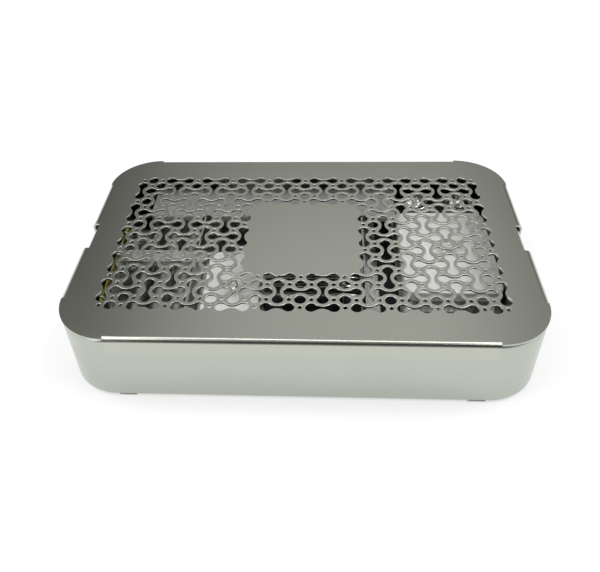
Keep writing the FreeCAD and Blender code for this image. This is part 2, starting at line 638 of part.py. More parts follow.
def make_lid_grille():
    """The perforated field of the lid's sheet, with its plain centre panel."""
    half_length, half_width = value(GRILLE_HALF_LENGTH), value(GRILLE_HALF_WIDTH)
    signs = ((-1, -1), (1, -1), (1, 1), (-1, 1), (-1, -1))
    border = Part.makePolygon([FreeCAD.Vector(a * half_length, b * half_width, 0) for a, b in signs])
    sheet = Part.makeFace([border] + HoleLattice().outlines(), "Part::FaceMakerBullseye")
    grille = document.addObject("Part::Feature", "lid_grille")
    grille.Shape = sheet.extrude(FreeCAD.Vector(0, 0, value("sizes.lid_sheet")))
    grille.Placement.Base = FreeCAD.Vector(0, 0, value(LIP_TOP))
    keep(grille)


# The insert tray

def make_floor_mat():
    """Silicone mat on the tub's floor."""
    inset = "(sizes.base_sheet + sizes.mat_clearance)"
    keep(rounded_block(
        "floor_mat", ("0", "0"), f"{BASE_HALF_LENGTH} - {inset}", f"{BASE_HALF_WIDTH} - {inset}",
        f"sizes.base_corner - {inset}", BASE_FLOOR, MAT_TOP,
    ))


def make_insert_tray(holes):
    """Lift-out tray: a plate with upright end flanges, folded skids and two windows."""
    body = new_body("tray_sheet")
    ends = sketch_on(body, "XZ")
    inner = f"({INSERT_HALF_LENGTH} - sizes.insert_sheet)"
    polygon(ends, (
        (f"-1 * {INSERT_HALF_LENGTH}", PLATE_BOTTOM), (INSERT_HALF_LENGTH, PLATE_BOTTOM),
        (INSERT_HALF_LENGTH, END_FLANGE_TOP), (inner, END_FLANGE_TOP),
        (inner, PLATE_TOP), (f"-1 * {inner}", PLATE_TOP),
        (f"-1 * {inner}", END_FLANGE_TOP), (f"-1 * {INSERT_HALF_LENGTH}", END_FLANGE_TOP),
    ))
    extrude(body, "Pad", ends, "sizes.end_flange_width")
    fold(body, "y", "x", INSERT_HALF_LENGTH, PLATE_BOTTOM, inner, PLATE_TOP)
    flange_corner = {"y": both("sizes.end_flange_width / 2"), "z": (value(END_FLANGE_TOP),)}
    round_edges(body, "sizes.end_flange_corner", runs_along("x", **flange_corner))
    skids = sketch_on(body, "YZ")
    inner = f"({INSERT_HALF_WIDTH} - sizes.insert_sheet)"
    polygon(skids, (
        (f"-1 * {INSERT_HALF_WIDTH}", MAT_TOP), (f"-1 * {inner}", MAT_TOP),
        (f"-1 * {inner}", PLATE_BOTTOM), (inner, PLATE_BOTTOM),
        (inner, MAT_TOP), (INSERT_HALF_WIDTH, MAT_TOP),
        (INSERT_HALF_WIDTH, PLATE_TOP), (f"-1 * {INSERT_HALF_WIDTH}", PLATE_TOP),
    ))
    extrude(body, "Pad", skids, "sizes.skid_length")
    fold(body, "x", "y", INSERT_HALF_WIDTH, PLATE_TOP, inner, PLATE_BOTTOM)
    cut_tray_openings(body)
    keep(cut("insert_tray", body, holes))


def fold(body, along, across, outer, outer_height, inner, inner_height):
    """Round both sides of a sheet's folds, on both sides of the middle."""
    outer_edge = {across: both(outer), "z": (value(outer_height),)}
    inner_edge = {across: both(inner), "z": (value(inner_height),)}
    round_edges(body, "sizes.insert_bend + sizes.insert_sheet", runs_along(along, **outer_edge))
    round_edges(body, "sizes.insert_bend", runs_along(along, **inner_edge))


def cut_tray_openings(body):
    """The tray's two windows, its grip slots and the arches of its skids."""
    windows = sketch_on(body, "XY", PLATE_MIDDLE)
    for start, end in (
        (CENTRE_WINDOW_START, CENTRE_WINDOW_END), (RIGHT_WINDOW_START, RIGHT_WINDOW_END),
    ):
        middle = (f"({start} + {end}) / 2", "0")
        half_length = f"({end} - {start}) / 2"
        rounded_rectangle(windows, middle, half_length, "sizes.window_width / 2", "sizes.window_corner")
    extrude(body, "Pocket", windows, both_sides("sizes.insert_sheet"))
    grips = sketch_on(body, "YZ")
    grip_middle = f"{END_FLANGE_TOP} - sizes.grip_drop - sizes.grip_height / 2"
    rounded_rectangle(
        grips, ("0", grip_middle), "sizes.grip_length / 2", "sizes.grip_height / 2",
        "sizes.grip_corner",
    )
    extrude(body, "Pocket", grips, both_sides(f"{INSERT_HALF_LENGTH} + sizes.insert_sheet"))
    arches = sketch_on(body, "XZ")
    rounded_rectangle(
        arches, ("0", MAT_TOP), "sizes.skid_arch_length / 2", "sizes.skid_arch_height",
        "sizes.skid_arch_corner",
    )
    extrude(body, "Pocket", arches, both_sides(f"{INSERT_HALF_WIDTH} + sizes.insert_sheet"))


def make_divider(name, face, holes, strap_slot):
    """Upright sheet across the tray with a riveted foot on its right-hand side."""
    body = new_body(f"{name}_sheet")
    profile = sketch_on(body, "XZ")
    back = f"({face} + sizes.insert_sheet)"
    polygon(profile, (
        (face, PLATE_TOP), (f"{face} + sizes.divider_foot", PLATE_TOP),
        (f"{face} + sizes.divider_foot", FOOT_TOP), (back, FOOT_TOP),
        (back, DIVIDER_TOP), (face, DIVIDER_TOP),
    ))
    extrude(body, "Pad", profile, "sizes.divider_length")
    outer_edge = {"x": (value(face),), "z": (value(PLATE_TOP),)}
    inner_edge = {"x": (value(back),), "z": (value(FOOT_TOP),)}
    top_corner = {"y": both("sizes.divider_length / 2"), "z": (value(DIVIDER_TOP),)}
    round_edges(body, "sizes.insert_bend + sizes.insert_sheet", runs_along("y", **outer_edge))
    round_edges(body, "sizes.insert_bend", runs_along("y", **inner_edge))
    round_edges(body, "sizes.divider_corner", runs_along("x", **top_corner))
    if strap_slot:
        slot = sketch_on(body, "YZ", face)
        slot_bottom = f"{STRAP_BOTTOM} - sizes.strap_slot_clearance"
        slot_top = f"{DIVIDER_TOP} + sizes.divider_corner"
        half_width = "(sizes.strap_width / 2 + sizes.strap_slot_clearance)"
        polygon(slot, (
            (f"-1 * {half_width}", slot_bottom), (half_width, slot_bottom),
            (half_width, slot_top), (f"-1 * {half_width}", slot_top),
        ))
        extrude(body, "Pocket", slot, both_sides("2 * sizes.insert_sheet"))
    keep(cut(name, body, holes))


# The left bay

def folded_upright(name, side, middle, end):
    """Body of an upright sheet across the tray; its folded foot lies on the plate, away from its side."""
    body = new_body(f"{name}_sheet")
    near = f"({middle} - {side} * sizes.insert_sheet / 2)"
    far = f"({middle} + {side} * sizes.insert_sheet / 2)"
    foot = f"({far} - {side} * sizes.bracket_foot)"
    profile = sketch_on(body, "YZ", f"({BRACKET_START} + {end}) / 2")
    polygon(profile, (
        (foot, PLATE_TOP), (far, PLATE_TOP), (far, BRACKET_TOP),
        (near, BRACKET_TOP), (near, FOOT_TOP), (foot, FOOT_TOP),
    ))
    extrude(body, "Pad", profile, f"{end} - {BRACKET_START}")
    outer_edge = {"y": (value(far),), "z": (value(PLATE_TOP),)}
    inner_edge = {"y": (value(near),), "z": (value(FOOT_TOP),)}
    round_edges(body, "sizes.insert_bend + sizes.insert_sheet", runs_along("x", **outer_edge))
    round_edges(body, "sizes.insert_bend", runs_along("x", **inner_edge))
    return body


def add_ear(body, middle):
    """Ear at the left end of an upright sheet, with the bore that carries the hinge rod."""
    ear = sketch_on(body, "XZ", middle)
    circle(ear, ROD_X, ROD_Z, "sizes.ear_radius")
    extrude(body, "Pad", ear, "sizes.insert_sheet")
    neck = sketch_on(body, "XZ", middle)
    low = f"({BRACKET_TOP} - sizes.insert_sheet)"
    polygon(neck, ((BRACKET_START, low), (EAR_END, low), (EAR_END, ROD_Z), (BRACKET_START, ROD_Z)))
    extrude(body, "Pad", neck, "sizes.insert_sheet")
    bore = sketch_on(body, "XZ", middle)
    circle(bore, ROD_X, ROD_Z, "sizes.rod_radius + sizes.rod_clearance")
    extrude(body, "Pocket", bore, both_sides("sizes.insert_sheet"))


def make_rest_brackets(holes):
    """Folded brackets that carry the combs; the front one also holds the front end of the hinge rod."""
    front = "(-1 * sizes.bracket_spacing / 2)"
    body = folded_upright("rest_bracket_front", "-1", front, BRACKET_END)
    add_ear(body, front)
    keep(cut("rest_bracket_front", body, holes))
    body = folded_upright("rest_bracket_rear", "1", "(sizes.bracket_spacing / 2)", BRACKET_END)
    keep(cut("rest_bracket_rear", body, holes))


def make_rod_lug(holes):
    """Narrow folded lug that holds the rear end of the hinge rod."""
    body = folded_upright("rod_lug", "1", "sizes.lug_place", EAR_END)
    add_ear(body, "sizes.lug_place")
    keep(cut("rod_lug", body, holes))


def make_rest_comb(name, sign):
    """Silicone comb pushed over a bracket, with a round notch for each instrument."""
    body = new_body(name)
    middle = f"({sign} * sizes.bracket_spacing / 2)"
    start = f"({ROD_X} + sizes.comb_gap)"
    end = f"({LEFT_DIVIDER} - sizes.comb_end)"
    bottom = f"({PLATE_TOP} + sizes.comb_bottom)"
    top = f"({PLATE_TOP} + sizes.comb_top)"
    outline = sketch_on(body, "XZ", middle)
    polygon(outline, ((start, bottom), (end, bottom), (end, top), (start, top)))
    extrude(body, "Pad", outline, "sizes.comb_thickness")
    slot = sketch_on(body, "YZ", f"({start} + {end}) / 2")
    half_slot = "(sizes.insert_sheet / 2 + sizes.comb_clearance)"
    slot_top = f"{BRACKET_TOP} + sizes.comb_clearance"
    slot_bottom = f"{bottom} - sizes.insert_sheet"
    polygon(slot, (
        (f"{middle} - {half_slot}", slot_bottom), (f"{middle} + {half_slot}", slot_bottom),
        (f"{middle} + {half_slot}", slot_top), (f"{middle} - {half_slot}", slot_top),
    ))
    extrude(body, "Pocket", slot, both_sides(f"{end} - {start}"))
    notches = sketch_on(body, "XZ", middle)
    for number in range(len(INSTRUMENTS)):
        circle(notches, instrument_x(number), INSTRUMENT_Z, NOTCH_RADIUS)
    extrude(body, "Pocket", notches, both_sides("sizes.comb_thickness"))
    keep(body)


def instrument_x(number):
    """The place of an instrument's axis across the left bay."""
    return f"{ROD_X} + sizes.instrument_start + {number} * sizes.instrument_spacing"


def make_instruments():
    """Three hand instruments with grooved round grips, tapered necks and fine tips."""
    bottom = "(sizes.grip_radius - sizes.groove_depth)"
    far_edge = "(sizes.groove_far + sizes.groove_width)"
    near_edge = "(-1 * sizes.groove_near - sizes.groove_width)"
    for number, name in enumerate(INSTRUMENTS):
        body = new_body(f"hand_instrument_{name}")
        profile = sketch_on(body, "YZ")
        polygon(profile, (
            ("-1 * sizes.grip_end", "0"), ("sizes.tip_end", "0"), ("sizes.tip_end", "sizes.tip_radius"),
            ("sizes.neck_end", "sizes.neck_radius"), ("sizes.neck_start", "sizes.grip_radius"),
            (far_edge, "sizes.grip_radius"), (far_edge, bottom),
            ("sizes.groove_far", bottom), ("sizes.groove_far", "sizes.grip_radius"),
            ("-1 * sizes.groove_near", "sizes.grip_radius"), ("-1 * sizes.groove_near", bottom),
            (near_edge, bottom), (near_edge, "sizes.grip_radius"),
            ("-1 * sizes.grip_end", "sizes.grip_radius"),
        ))
        turn(body, profile, "H_Axis")
        place(body, across=instrument_x(number), up=INSTRUMENT_Z)
        keep(body)


def make_hinge_rod():
    """The rod along the tray's left end, and the collars on its two ends."""
    body = new_body("hinge_rod")
    front = "(-1 * sizes.bracket_spacing / 2)"
    section = sketch_on(body, "XZ", f"({front} + sizes.lug_place) / 2")
    circle(section, ROD_X, ROD_Z, "sizes.rod_radius")
    extrude(body, "Pad", section, f"sizes.lug_place - {front} + {both_sides('sizes.rod_overhang')}")
    keep(body)
    bore = "sizes.rod_radius + sizes.rod_clearance"
    groove = "(sizes.collar_radius - sizes.collar_groove)"
    outer_faces = (
        ("front", f"{front} - sizes.insert_sheet / 2 - sizes.collar_length"),
        ("rear", "sizes.lug_place + sizes.insert_sheet / 2"),
    )
    for name, back in outer_faces:
        collar = new_body(f"rod_collar_{name}")
        profile = sketch_on(collar, "YZ")
        first, second = "sizes.collar_land", "sizes.collar_length - sizes.collar_land"
        polygon(profile, (
            ("0", bore), ("sizes.collar_length", bore), ("sizes.collar_length", "sizes.collar_radius"),
            (second, "sizes.collar_radius"), (second, groove), (first, groove),
            (first, "sizes.collar_radius"), ("0", "sizes.collar_radius"),
        ))
        turn(collar, profile, "H_Axis")
        place(collar, ROD_X, back, ROD_Z)
        keep(collar)


def make_strap():
    """Retaining strap that swings on the rod, with the silicone pad under it."""
    body = new_body("retaining_strap")
    tip = f"({LEFT_DIVIDER} + sizes.insert_sheet + sizes.strap_overhang)"
    bar = sketch_on(body, "XZ")
    polygon(bar, ((ROD_X, STRAP_BOTTOM), (tip, STRAP_BOTTOM), (tip, STRAP_TOP), (ROD_X, STRAP_TOP)))
    extrude(body, "Pad", bar, "sizes.strap_width")
    tip_corner = {"x": (value(tip),), "y": both("sizes.strap_width / 2")}
    round_edges(body, "sizes.strap_tip_corner", runs_along("z", **tip_corner))
    knuckle = sketch_on(body, "XZ")
    circle(knuckle, ROD_X, ROD_Z, "sizes.knuckle_radius")
    extrude(body, "Pad", knuckle, "sizes.strap_width")
    bore = sketch_on(body, "XZ")
    circle(bore, ROD_X, ROD_Z, "sizes.rod_radius + sizes.rod_clearance")
    extrude(body, "Pocket", bore, both_sides("sizes.strap_width"))
    keep(body)
    start = f"({ROD_X} + sizes.comb_gap)"
    end = f"({LEFT_DIVIDER} - sizes.comb_end)"
    keep(rounded_block(
        "strap_pad", (f"({start} + {end}) / 2", "0"), f"({end} - {start}) / 2",
        "sizes.strap_width / 2", "sizes.rest_corner",
        f"{INSTRUMENT_Z} + sizes.grip_radius + sizes.pad_clearance", STRAP_BOTTOM,
    ))


# The parts boxes

def make_parts_box(side, across, length, width, back):
    """Small open box, its slip-on cover and the cover's turned knob."""
    box = rounded_block(
        f"parts_box_{side}", (across, back), f"{length} / 2", f"{width} / 2", "sizes.box_corner",
        PLATE_TOP, BOX_TOP,
    )
    inside = sketch_on(box, "XY", BOX_TOP)
    rounded_rectangle(
        inside, (across, back), f"{length} / 2 - sizes.box_sheet", f"{width} / 2 - sizes.box_sheet",
        "sizes.box_corner - sizes.box_sheet",
    )
    extrude(box, "Pocket", inside, both_sides("sizes.box_height - sizes.box_sheet"))
    keep(box)
    cover = rounded_block(
        f"box_cover_{side}", (across, back), f"{length} / 2 + {COVER_GROWTH}",
        f"{width} / 2 + {COVER_GROWTH}", f"sizes.box_corner + {COVER_GROWTH}",
        f"{COVER_TOP} - sizes.cover_depth", COVER_TOP,
    )
    round_edges(cover, "sizes.cover_edge", lies_at_height(value(COVER_TOP)))
    under = sketch_on(cover, "XY", f"{COVER_TOP} - sizes.cover_depth")
    rounded_rectangle(
        under, (across, back), f"{length} / 2 + sizes.cover_clearance",
        f"{width} / 2 + sizes.cover_clearance", "sizes.box_corner + sizes.cover_clearance",
    )
    extrude(cover, "Pocket", under, both_sides("sizes.cover_depth - sizes.box_sheet"))
    keep(cover)
    knob = new_body(f"cover_knob_{side}")
    profile = sketch_on(knob, "XZ")
    neck_top = "(sizes.knob_height - sizes.knob_head)"
    polygon(profile, (
        ("0", "0"), ("sizes.knob_neck", "0"), ("sizes.knob_neck", neck_top),
        ("sizes.knob_radius", neck_top), ("sizes.knob_radius", "sizes.knob_height"),
        ("0", "sizes.knob_height"),
    ))
    turn(knob, profile, "V_Axis")
    place(knob, across, back, COVER_TOP)
    keep(knob)


# The cup holder and the centre rests

def add_pegs(body, places):
    """Pegs from a block's underside through the tray."""
    pegs = sketch_on(body, "XY", PLATE_MIDDLE)
    for across, back in places:
        circle(pegs, across, back, "sizes.peg_radius")
    extrude(body, "Pad", pegs, both_sides("sizes.insert_sheet / 2 + sizes.peg_reach"))


def holder_peg_places():
    """Where the cup holder's pegs go through the tray."""
    return [(f"{RIGHT_BOX_X} + {sign} * sizes.holder_peg_spacing / 2", HOLDER_Y) for sign in (-1, 1)]


def rest_peg_places(across):
    """Where a centre rest's pegs go through the tray."""
    return [(across, f"sizes.rest_middle + {sign} * sizes.peg_spacing / 2") for sign in (-1, 1)]


def make_cup_holder():
    """Dark block at the right rear with two bored seats, and the two bright cups in them."""
    holder = rounded_block(
        "cup_holder", (RIGHT_BOX_X, HOLDER_Y), "sizes.holder_length / 2", "sizes.holder_width / 2",
        "sizes.holder_corner", PLATE_TOP, HOLDER_TOP,
    )
    seats = sketch_on(holder, "XY", HOLDER_TOP)
    cup_places = [(f"{RIGHT_BOX_X} + {sign} * sizes.cup_spacing / 2", HOLDER_Y) for sign in (-1, 1)]
    for across, back in cup_places:
        circle(seats, across, back, "sizes.cup_radius + sizes.cup_clearance")
    extrude(holder, "Pocket", seats, both_sides("sizes.cup_height - sizes.cup_rise"))
    add_pegs(holder, holder_peg_places())
    keep(holder)
    for side, (across, back) in zip(("left", "right"), cup_places):
        cup = new_body(f"cup_{side}")
        profile = sketch_on(cup, "XZ")
        rim_bottom = "(sizes.cup_height - sizes.cup_rim)"
        bowl_floor = "(sizes.cup_height - sizes.cup_bowl_depth)"
        polygon(profile, (
            ("0", "0"), ("sizes.cup_radius", "0"), ("sizes.cup_radius", rim_bottom),
            ("sizes.cup_rim_radius", rim_bottom), ("sizes.cup_rim_radius", "sizes.cup_height"),
            ("sizes.cup_bowl_radius", "sizes.cup_height"), ("sizes.cup_bowl_radius", bowl_floor),
            ("0", bowl_floor),
        ))
        turn(cup, profile, "V_Axis")
        place(cup, across, back, CUP_BOTTOM)
        keep(cup)


def make_centre_rests():
    """Two silicone rests beside the centre window, with thin probes laid across them."""
    count = int(value("sizes.probe_count"))
    middle = (count - 1) / 2
    rows = [f"sizes.rest_middle + {number - middle} * sizes.probe_spacing" for number in range(count)]
    probe_z = f"({PLATE_TOP} + sizes.probe_height)"
    for side, across in (("left", LEFT_REST_X), ("right", RIGHT_REST_X)):
        rest = rounded_block(
            f"centre_rest_{side}", (across, "sizes.rest_middle"), "sizes.rest_length / 2",
            "sizes.rest_width / 2", "sizes.rest_corner", PLATE_TOP, f"{PLATE_TOP} + sizes.rest_height",
        )
        notches = sketch_on(rest, "YZ", across)
        for back in rows:
            circle(notches, back, probe_z, "sizes.probe_radius + sizes.instrument_clearance")
        extrude(rest, "Pocket", notches, both_sides("sizes.rest_length"))
        add_pegs(rest, rest_peg_places(across))
        keep(rest)
    start = f"({LEFT_REST_X} - sizes.rest_length / 2 - sizes.probe_overhang)"
    end = f"({RIGHT_REST_X} + sizes.rest_length / 2)"
    for number, back in enumerate(rows, start=1):
        probe = new_body(f"probe_{number}")
        profile = sketch_on(probe, "XZ")
        polygon(profile, (
            (start, "0"), (end, "0"), (end, "sizes.probe_tip_radius"),
            (f"{end} - sizes.probe_taper", "sizes.probe_radius"), (start, "sizes.probe_radius"),
        ))
        turn(probe, profile, "H_Axis")
        place(probe, back=back, up=probe_z)
        keep(probe)


# Rivets

def rivet_places():
    """The rivets through the feet of the dividers, the brackets and the lug, as pairs of expressions."""
    places = []
    for face in (LEFT_DIVIDER, RIGHT_DIVIDER):
        across = f"{face} + (sizes.divider_foot + sizes.insert_sheet + sizes.insert_bend) / 2"
        places += [(across, f"{turns} * sizes.divider_rivet_spacing") for turns in (-1, 0, 1)]
    bay_middle = f"({LEFT_DIVIDER} - {INSERT_HALF_LENGTH}) / 2"
    inset = "(sizes.bracket_foot - sizes.insert_bend - sizes.insert_sheet) / 2"
    behind = f"sizes.insert_sheet / 2 - sizes.bracket_foot + {inset}"
    places.append((f"({BRACKET_START} + {EAR_END}) / 2", f"sizes.lug_place + {behind}"))
    for sign in ("-1", "1"):
        foot = f"sizes.bracket_spacing / 2 + {behind}"
        for half in (-1, 1):
            across = f"{bay_middle} + {half} * sizes.bracket_rivet_spacing / 2"
            places.append((across, f"{sign} * ({foot})"))
    return places


def make_holes():
    """The tool that drills the rivet and peg holes through the tray and the feet on it."""
    low = value(PLATE_BOTTOM) - BEYOND
    depth = value(FOOT_TOP) + BEYOND - low
    drills = [(across, back, "sizes.rivet_radius + sizes.rivet_clearance") for across, back in rivet_places()]
    pegs = holder_peg_places() + rest_peg_places(LEFT_REST_X) + rest_peg_places(RIGHT_REST_X)
    drills += [(across, back, "sizes.peg_radius + sizes.peg_clearance") for across, back in pegs]
    tools = [
        Part.makeCylinder(value(radius), depth, FreeCAD.Vector(value(across), value(back), low))
        for across, back, radius in drills
    ]
    holes = document.addObject("Part::Feature", "drilled_holes")
    holes.Shape = Part.makeCompound(tools)
    return holes


def make_rivets():
    """Identical rivets: a head on the foot and a shank set flush with the tray's underside."""
    grip = value("2 * sizes.insert_sheet")
    head = Part.makeCylinder(value("sizes.rivet_head_radius"), value("sizes.rivet_head"))
    shank = Part.makeCylinder(value("sizes.rivet_radius"), grip, FreeCAD.Vector(0, 0, -grip))
    rivet = head.fuse(shank).removeSplitter()
    copies = []
    for across, back in rivet_places():
        copy = rivet.copy()
        copy.Placement.Base = FreeCAD.Vector(value(across), value(back), value(FOOT_TOP))
        copies.append(copy)
    rivets = document.addObject("Part::Feature", "rivets")
    rivets.Shape = Part.makeCompound(copies)
    keep(rivets)


def check_and_export():
    """Stop on any failed object, then write each sub-part to its own file."""
    document.recompute()
    for item in document.Objects:
        if {"Invalid", "Error"} & set(item.State):
            raise RuntimeError(f"{item.Name} failed: {item.State}")
    for node in nodes:
        if node.Shape.isNull() or not node.Shape.isValid():
            raise RuntimeError(f"{node.Label} has no valid shape")
    os.makedirs("parts", exist_ok=True)
    for node in nodes:
        node.Shape.exportStep(f"parts/{node.Label}.step")


make_base_tub()
make_feet()
make_floor_mat()
make_lid_frame()
make_lid_grille()
drilled_holes = make_holes()
make_insert_tray(drilled_holes)
make_divider("divider_left", LEFT_DIVIDER, drilled_holes, strap_slot=True)
make_divider("divider_right", RIGHT_DIVIDER, drilled_holes, strap_slot=False)
make_rest_brackets(drilled_holes)
make_rod_lug(drilled_holes)
make_rest_comb("rest_comb_front", "-1")
make_rest_comb("rest_comb_rear", "1")
make_instruments()
make_hinge_rod()
make_strap()
make_parts_box("left", LEFT_BOX_X, "sizes.left_box_length", "sizes.left_box_width", "sizes.left_box_middle")
make_parts_box(
    "right", RIGHT_BOX_X, "sizes.right_box_length", "sizes.right_box_width", "sizes.right_box_middle"
)
make_cup_holder()
make_centre_rests()
make_rivets()
check_and_export()
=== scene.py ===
"""Dressed scene of a sterilization container with a perforated lift-off lid.

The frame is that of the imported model: metres, +Z up, +X along the long side and the front at -Y.
Sizes in the classes below are millimetres, as on a drawing, and become metres when a mesh is made.
"""
import json
import logging
import math
from dataclasses import dataclass
from enum import Enum
from typing import Callable, Iterable, Sequence

import bmesh
import bpy
from mathutils import Euler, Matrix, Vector
from mathutils.geometry import delaunay_2d_cdt

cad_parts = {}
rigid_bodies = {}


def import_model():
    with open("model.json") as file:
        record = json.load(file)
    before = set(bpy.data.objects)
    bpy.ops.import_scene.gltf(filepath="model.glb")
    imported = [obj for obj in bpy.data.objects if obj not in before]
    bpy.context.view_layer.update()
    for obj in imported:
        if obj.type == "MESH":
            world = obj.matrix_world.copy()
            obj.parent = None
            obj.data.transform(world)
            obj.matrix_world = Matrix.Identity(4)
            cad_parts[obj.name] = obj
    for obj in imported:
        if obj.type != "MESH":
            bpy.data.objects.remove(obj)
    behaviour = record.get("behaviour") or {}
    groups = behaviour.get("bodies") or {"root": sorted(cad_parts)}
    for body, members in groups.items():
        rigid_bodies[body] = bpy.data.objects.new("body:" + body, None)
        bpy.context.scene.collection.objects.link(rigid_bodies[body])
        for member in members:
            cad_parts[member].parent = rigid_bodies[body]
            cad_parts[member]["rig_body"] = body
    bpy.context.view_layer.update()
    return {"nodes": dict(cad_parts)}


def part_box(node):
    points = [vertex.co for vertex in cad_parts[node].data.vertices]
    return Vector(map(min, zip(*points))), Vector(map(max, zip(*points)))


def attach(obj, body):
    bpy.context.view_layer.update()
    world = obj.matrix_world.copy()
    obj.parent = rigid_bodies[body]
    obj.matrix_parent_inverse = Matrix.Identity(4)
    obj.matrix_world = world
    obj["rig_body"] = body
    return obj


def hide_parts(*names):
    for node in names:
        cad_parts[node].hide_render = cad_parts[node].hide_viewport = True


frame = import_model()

Point2 = tuple[float, float]
Point3 = tuple[float, float, float]
Colour = tuple[float, float, float]
Place = Callable[[float, float, float], Point3]
Outline = Callable[[float], list[Point2]]
Socket = bpy.types.NodeSocket

MILLIMETRE = 0.001
FULL_TURN = 2 * math.pi
WELD = 1e-7  # metres
TOUCHING = 1e-6  # millimetres
POINT_RADIUS = 0.01  # millimetres, where a lathe-turned form ends in a point
INSIDE_WITH_HOLES = 2  # the triangulation's kind that leaves out what lies in an inner loop
NOISE_RANGE = (0.3, 0.7)  # where nearly all of a noise's values lie
MIX_FIRST_COLOUR, MIX_SECOND_COLOUR, MIX_COLOUR = 6, 7, 2  # a mix node's sockets for colours
log = logging.getLogger("container")


# Meshes

class Shell:
    """Points and faces of one mesh, gathered in millimetres and made into an object at the end."""

    def __init__(self) -> None:
        """Start with nothing."""
        self.points: list[Point3] = []
        self.faces: list[tuple[int, ...]] = []
        self.finishes: list[int] = []

    def ring(self, points: Iterable[Point3]) -> list[int]:
        """Add a row of points.

        Args:
            points: The points in order.

        Returns:
            Their numbers in the mesh.
        """
        start = len(self.points)
        self.points.extend(points)
        return list(range(start, len(self.points)))

    def face(self, corners: Sequence[int], finish: int = 0) -> None:
        """Add one face.

        Args:
            corners: The numbers of its points.
            finish: The place of its material in the object's list.
        """
        self.faces.append(tuple(corners))
        self.finishes.append(finish)

    def band(
        self, first: Sequence[int], second: Sequence[int], closed: bool = True, finish: int = 0,
    ) -> None:
        """Join two rows of points with a band of four-sided faces.

        Args:
            first: One row.
            second: The other row, of the same length.
            closed: Whether the rows are rings.
            finish: The place of the faces' material in the object's list.
        """
        count = len(first)
        for number in range(count if closed else count - 1):
            after = (number + 1) % count
            self.face((first[number], first[after], second[after], second[number]), finish)

    def stack(self, rings: Sequence[Sequence[int]]) -> None:
        """Join each ring with the next and close both ends, which makes a solid form.

        Args:
            rings: Rings of equal length, from one end to the other.
        """
        for first, second in zip(rings, rings[1:]):
            self.band(first, second)
        self.face(tuple(reversed(rings[0])))
        self.face(rings[-1])

    def to_mesh(self, name: str) -> bpy.types.Mesh:
        """Make the mesh alone, in metres.

        Args:
            name: Its name.

        Returns:
            The mesh.
        """
        mesh = bpy.data.meshes.new(name)
        mesh.from_pydata([tuple(MILLIMETRE * v for v in point) for point in self.points], [], self.faces)
        mesh.polygons.foreach_set("material_index", self.finishes)
        return mesh

    def to_object(
        self, name: str, materials: Sequence[bpy.types.Material], crease: float = 30.0,
    ) -> bpy.types.Object:
        """Make the Blender object.

        Args:
            name: The piece's name.
            materials: Its materials, in the order that the faces name them.
            crease: The angle in degrees above which an edge stays sharp.

        Returns:
            The object, linked to the scene.
        """
        return finished(self.to_mesh(name), name, materials, crease)


def weld(work: bmesh.types.BMesh, distance: float = WELD) -> None:
    """Join points that lie in the same place.

    Args:
        work: The mesh.
        distance: How near they have to lie, in metres.
    """
    bmesh.ops.remove_doubles(work, verts=work.verts, dist=distance)


def in_order(work: bmesh.types.BMesh) -> Shell:
    """Gather a mesh's faces again, sorted by their points, so that they come in one order in every run.

    Args:
        work: The mesh, in metres.

    Returns:
        Its faces, each with points of its own, which are welded when the object is made.
    """
    faces = []
    for face in work.faces:
        corners = [tuple(corner.co / MILLIMETRE) for corner in face.verts]
        first = corners.index(min(corners))
        faces.append(corners[first:] + corners[:first])
    shell = Shell()
    for corners in sorted(faces):
        shell.face(shell.ring(corners))
    return shell


def finished(
    mesh: bpy.types.Mesh, name: str, materials: Sequence[bpy.types.Material], crease: float,
) -> bpy.types.Object:
    """Weld a mesh, turn its faces outwards, shade it and link it to the scene.

    Args:
        mesh: The mesh.
        name: The piece's name.
        materials: Its materials.
        crease: The angle in degrees above which an edge stays sharp.

    Returns:
        The new object.
    """
    work = bmesh.new()
    work.from_mesh(mesh)
    weld(work)
    bmesh.ops.recalc_face_normals(work, faces=work.faces)
    work.to_mesh(mesh)
    work.free()
    mesh.polygons.foreach_set("use_smooth", [True] * len(mesh.polygons))
    mesh.set_sharp_from_angle(angle=math.radians(crease))
    for material in materials:
        mesh.materials.append(material)
    piece = bpy.data.objects.new(name, mesh)
    bpy.context.scene.collection.objects.link(piece)
    return piece


def keep_flat(mesh: bpy.types.Mesh, upward: float = 0.9999) -> None:
    """Part level faces from the ones that slope away, so that they shade as flat sheet.

    Args:
        mesh: The mesh.
        upward: The least upright part of a level face's normal.
    """
    work = bmesh.new()
    work.from_mesh(mesh)
    for edge in work.edges:
        level = [abs(face.normal.z) > upward for face in edge.link_faces]
        if any(level) and not all(level):
            edge.smooth = False
    work.to_mesh(mesh)
    work.free()


def arc(centre: Point2, radius: float, start: float, end: float, steps: int) -> list[Point2]:
    """Points along an arc.

    Args:
        centre: Its centre.
        radius: Its radius.
        start: The first angle in degrees.
        end: The last angle in degrees.
        steps: The number of straight steps.

    Returns:
        steps + 1 points.
    """
    angles = [math.radians(start + (end - start) * number / steps) for number in range(steps + 1)]
    return [(centre[0] + radius * math.cos(angle), centre[1] + radius * math.sin(angle)) for angle in angles]


def rounded_outline(corner: Point2, radius: float, steps: int) -> list[Point2]:
    """A rectangle with rounded corners about the origin, anticlockwise.

    Args:
        corner: How far the corners' centres lie from the middle, along and across.
        radius: The corners' radius.
        steps: Straight steps in each corner.

    Returns:
        The outline's points.
    """
    points: list[Point2] = []
    for turn, (along, across) in enumerate(((1, 1), (-1, 1), (-1, -1), (1, -1))):
        centre = (along * corner[0], across * corner[1])
        points += arc(centre, radius, 90 * turn, 90 * turn + 90, steps)
    return points


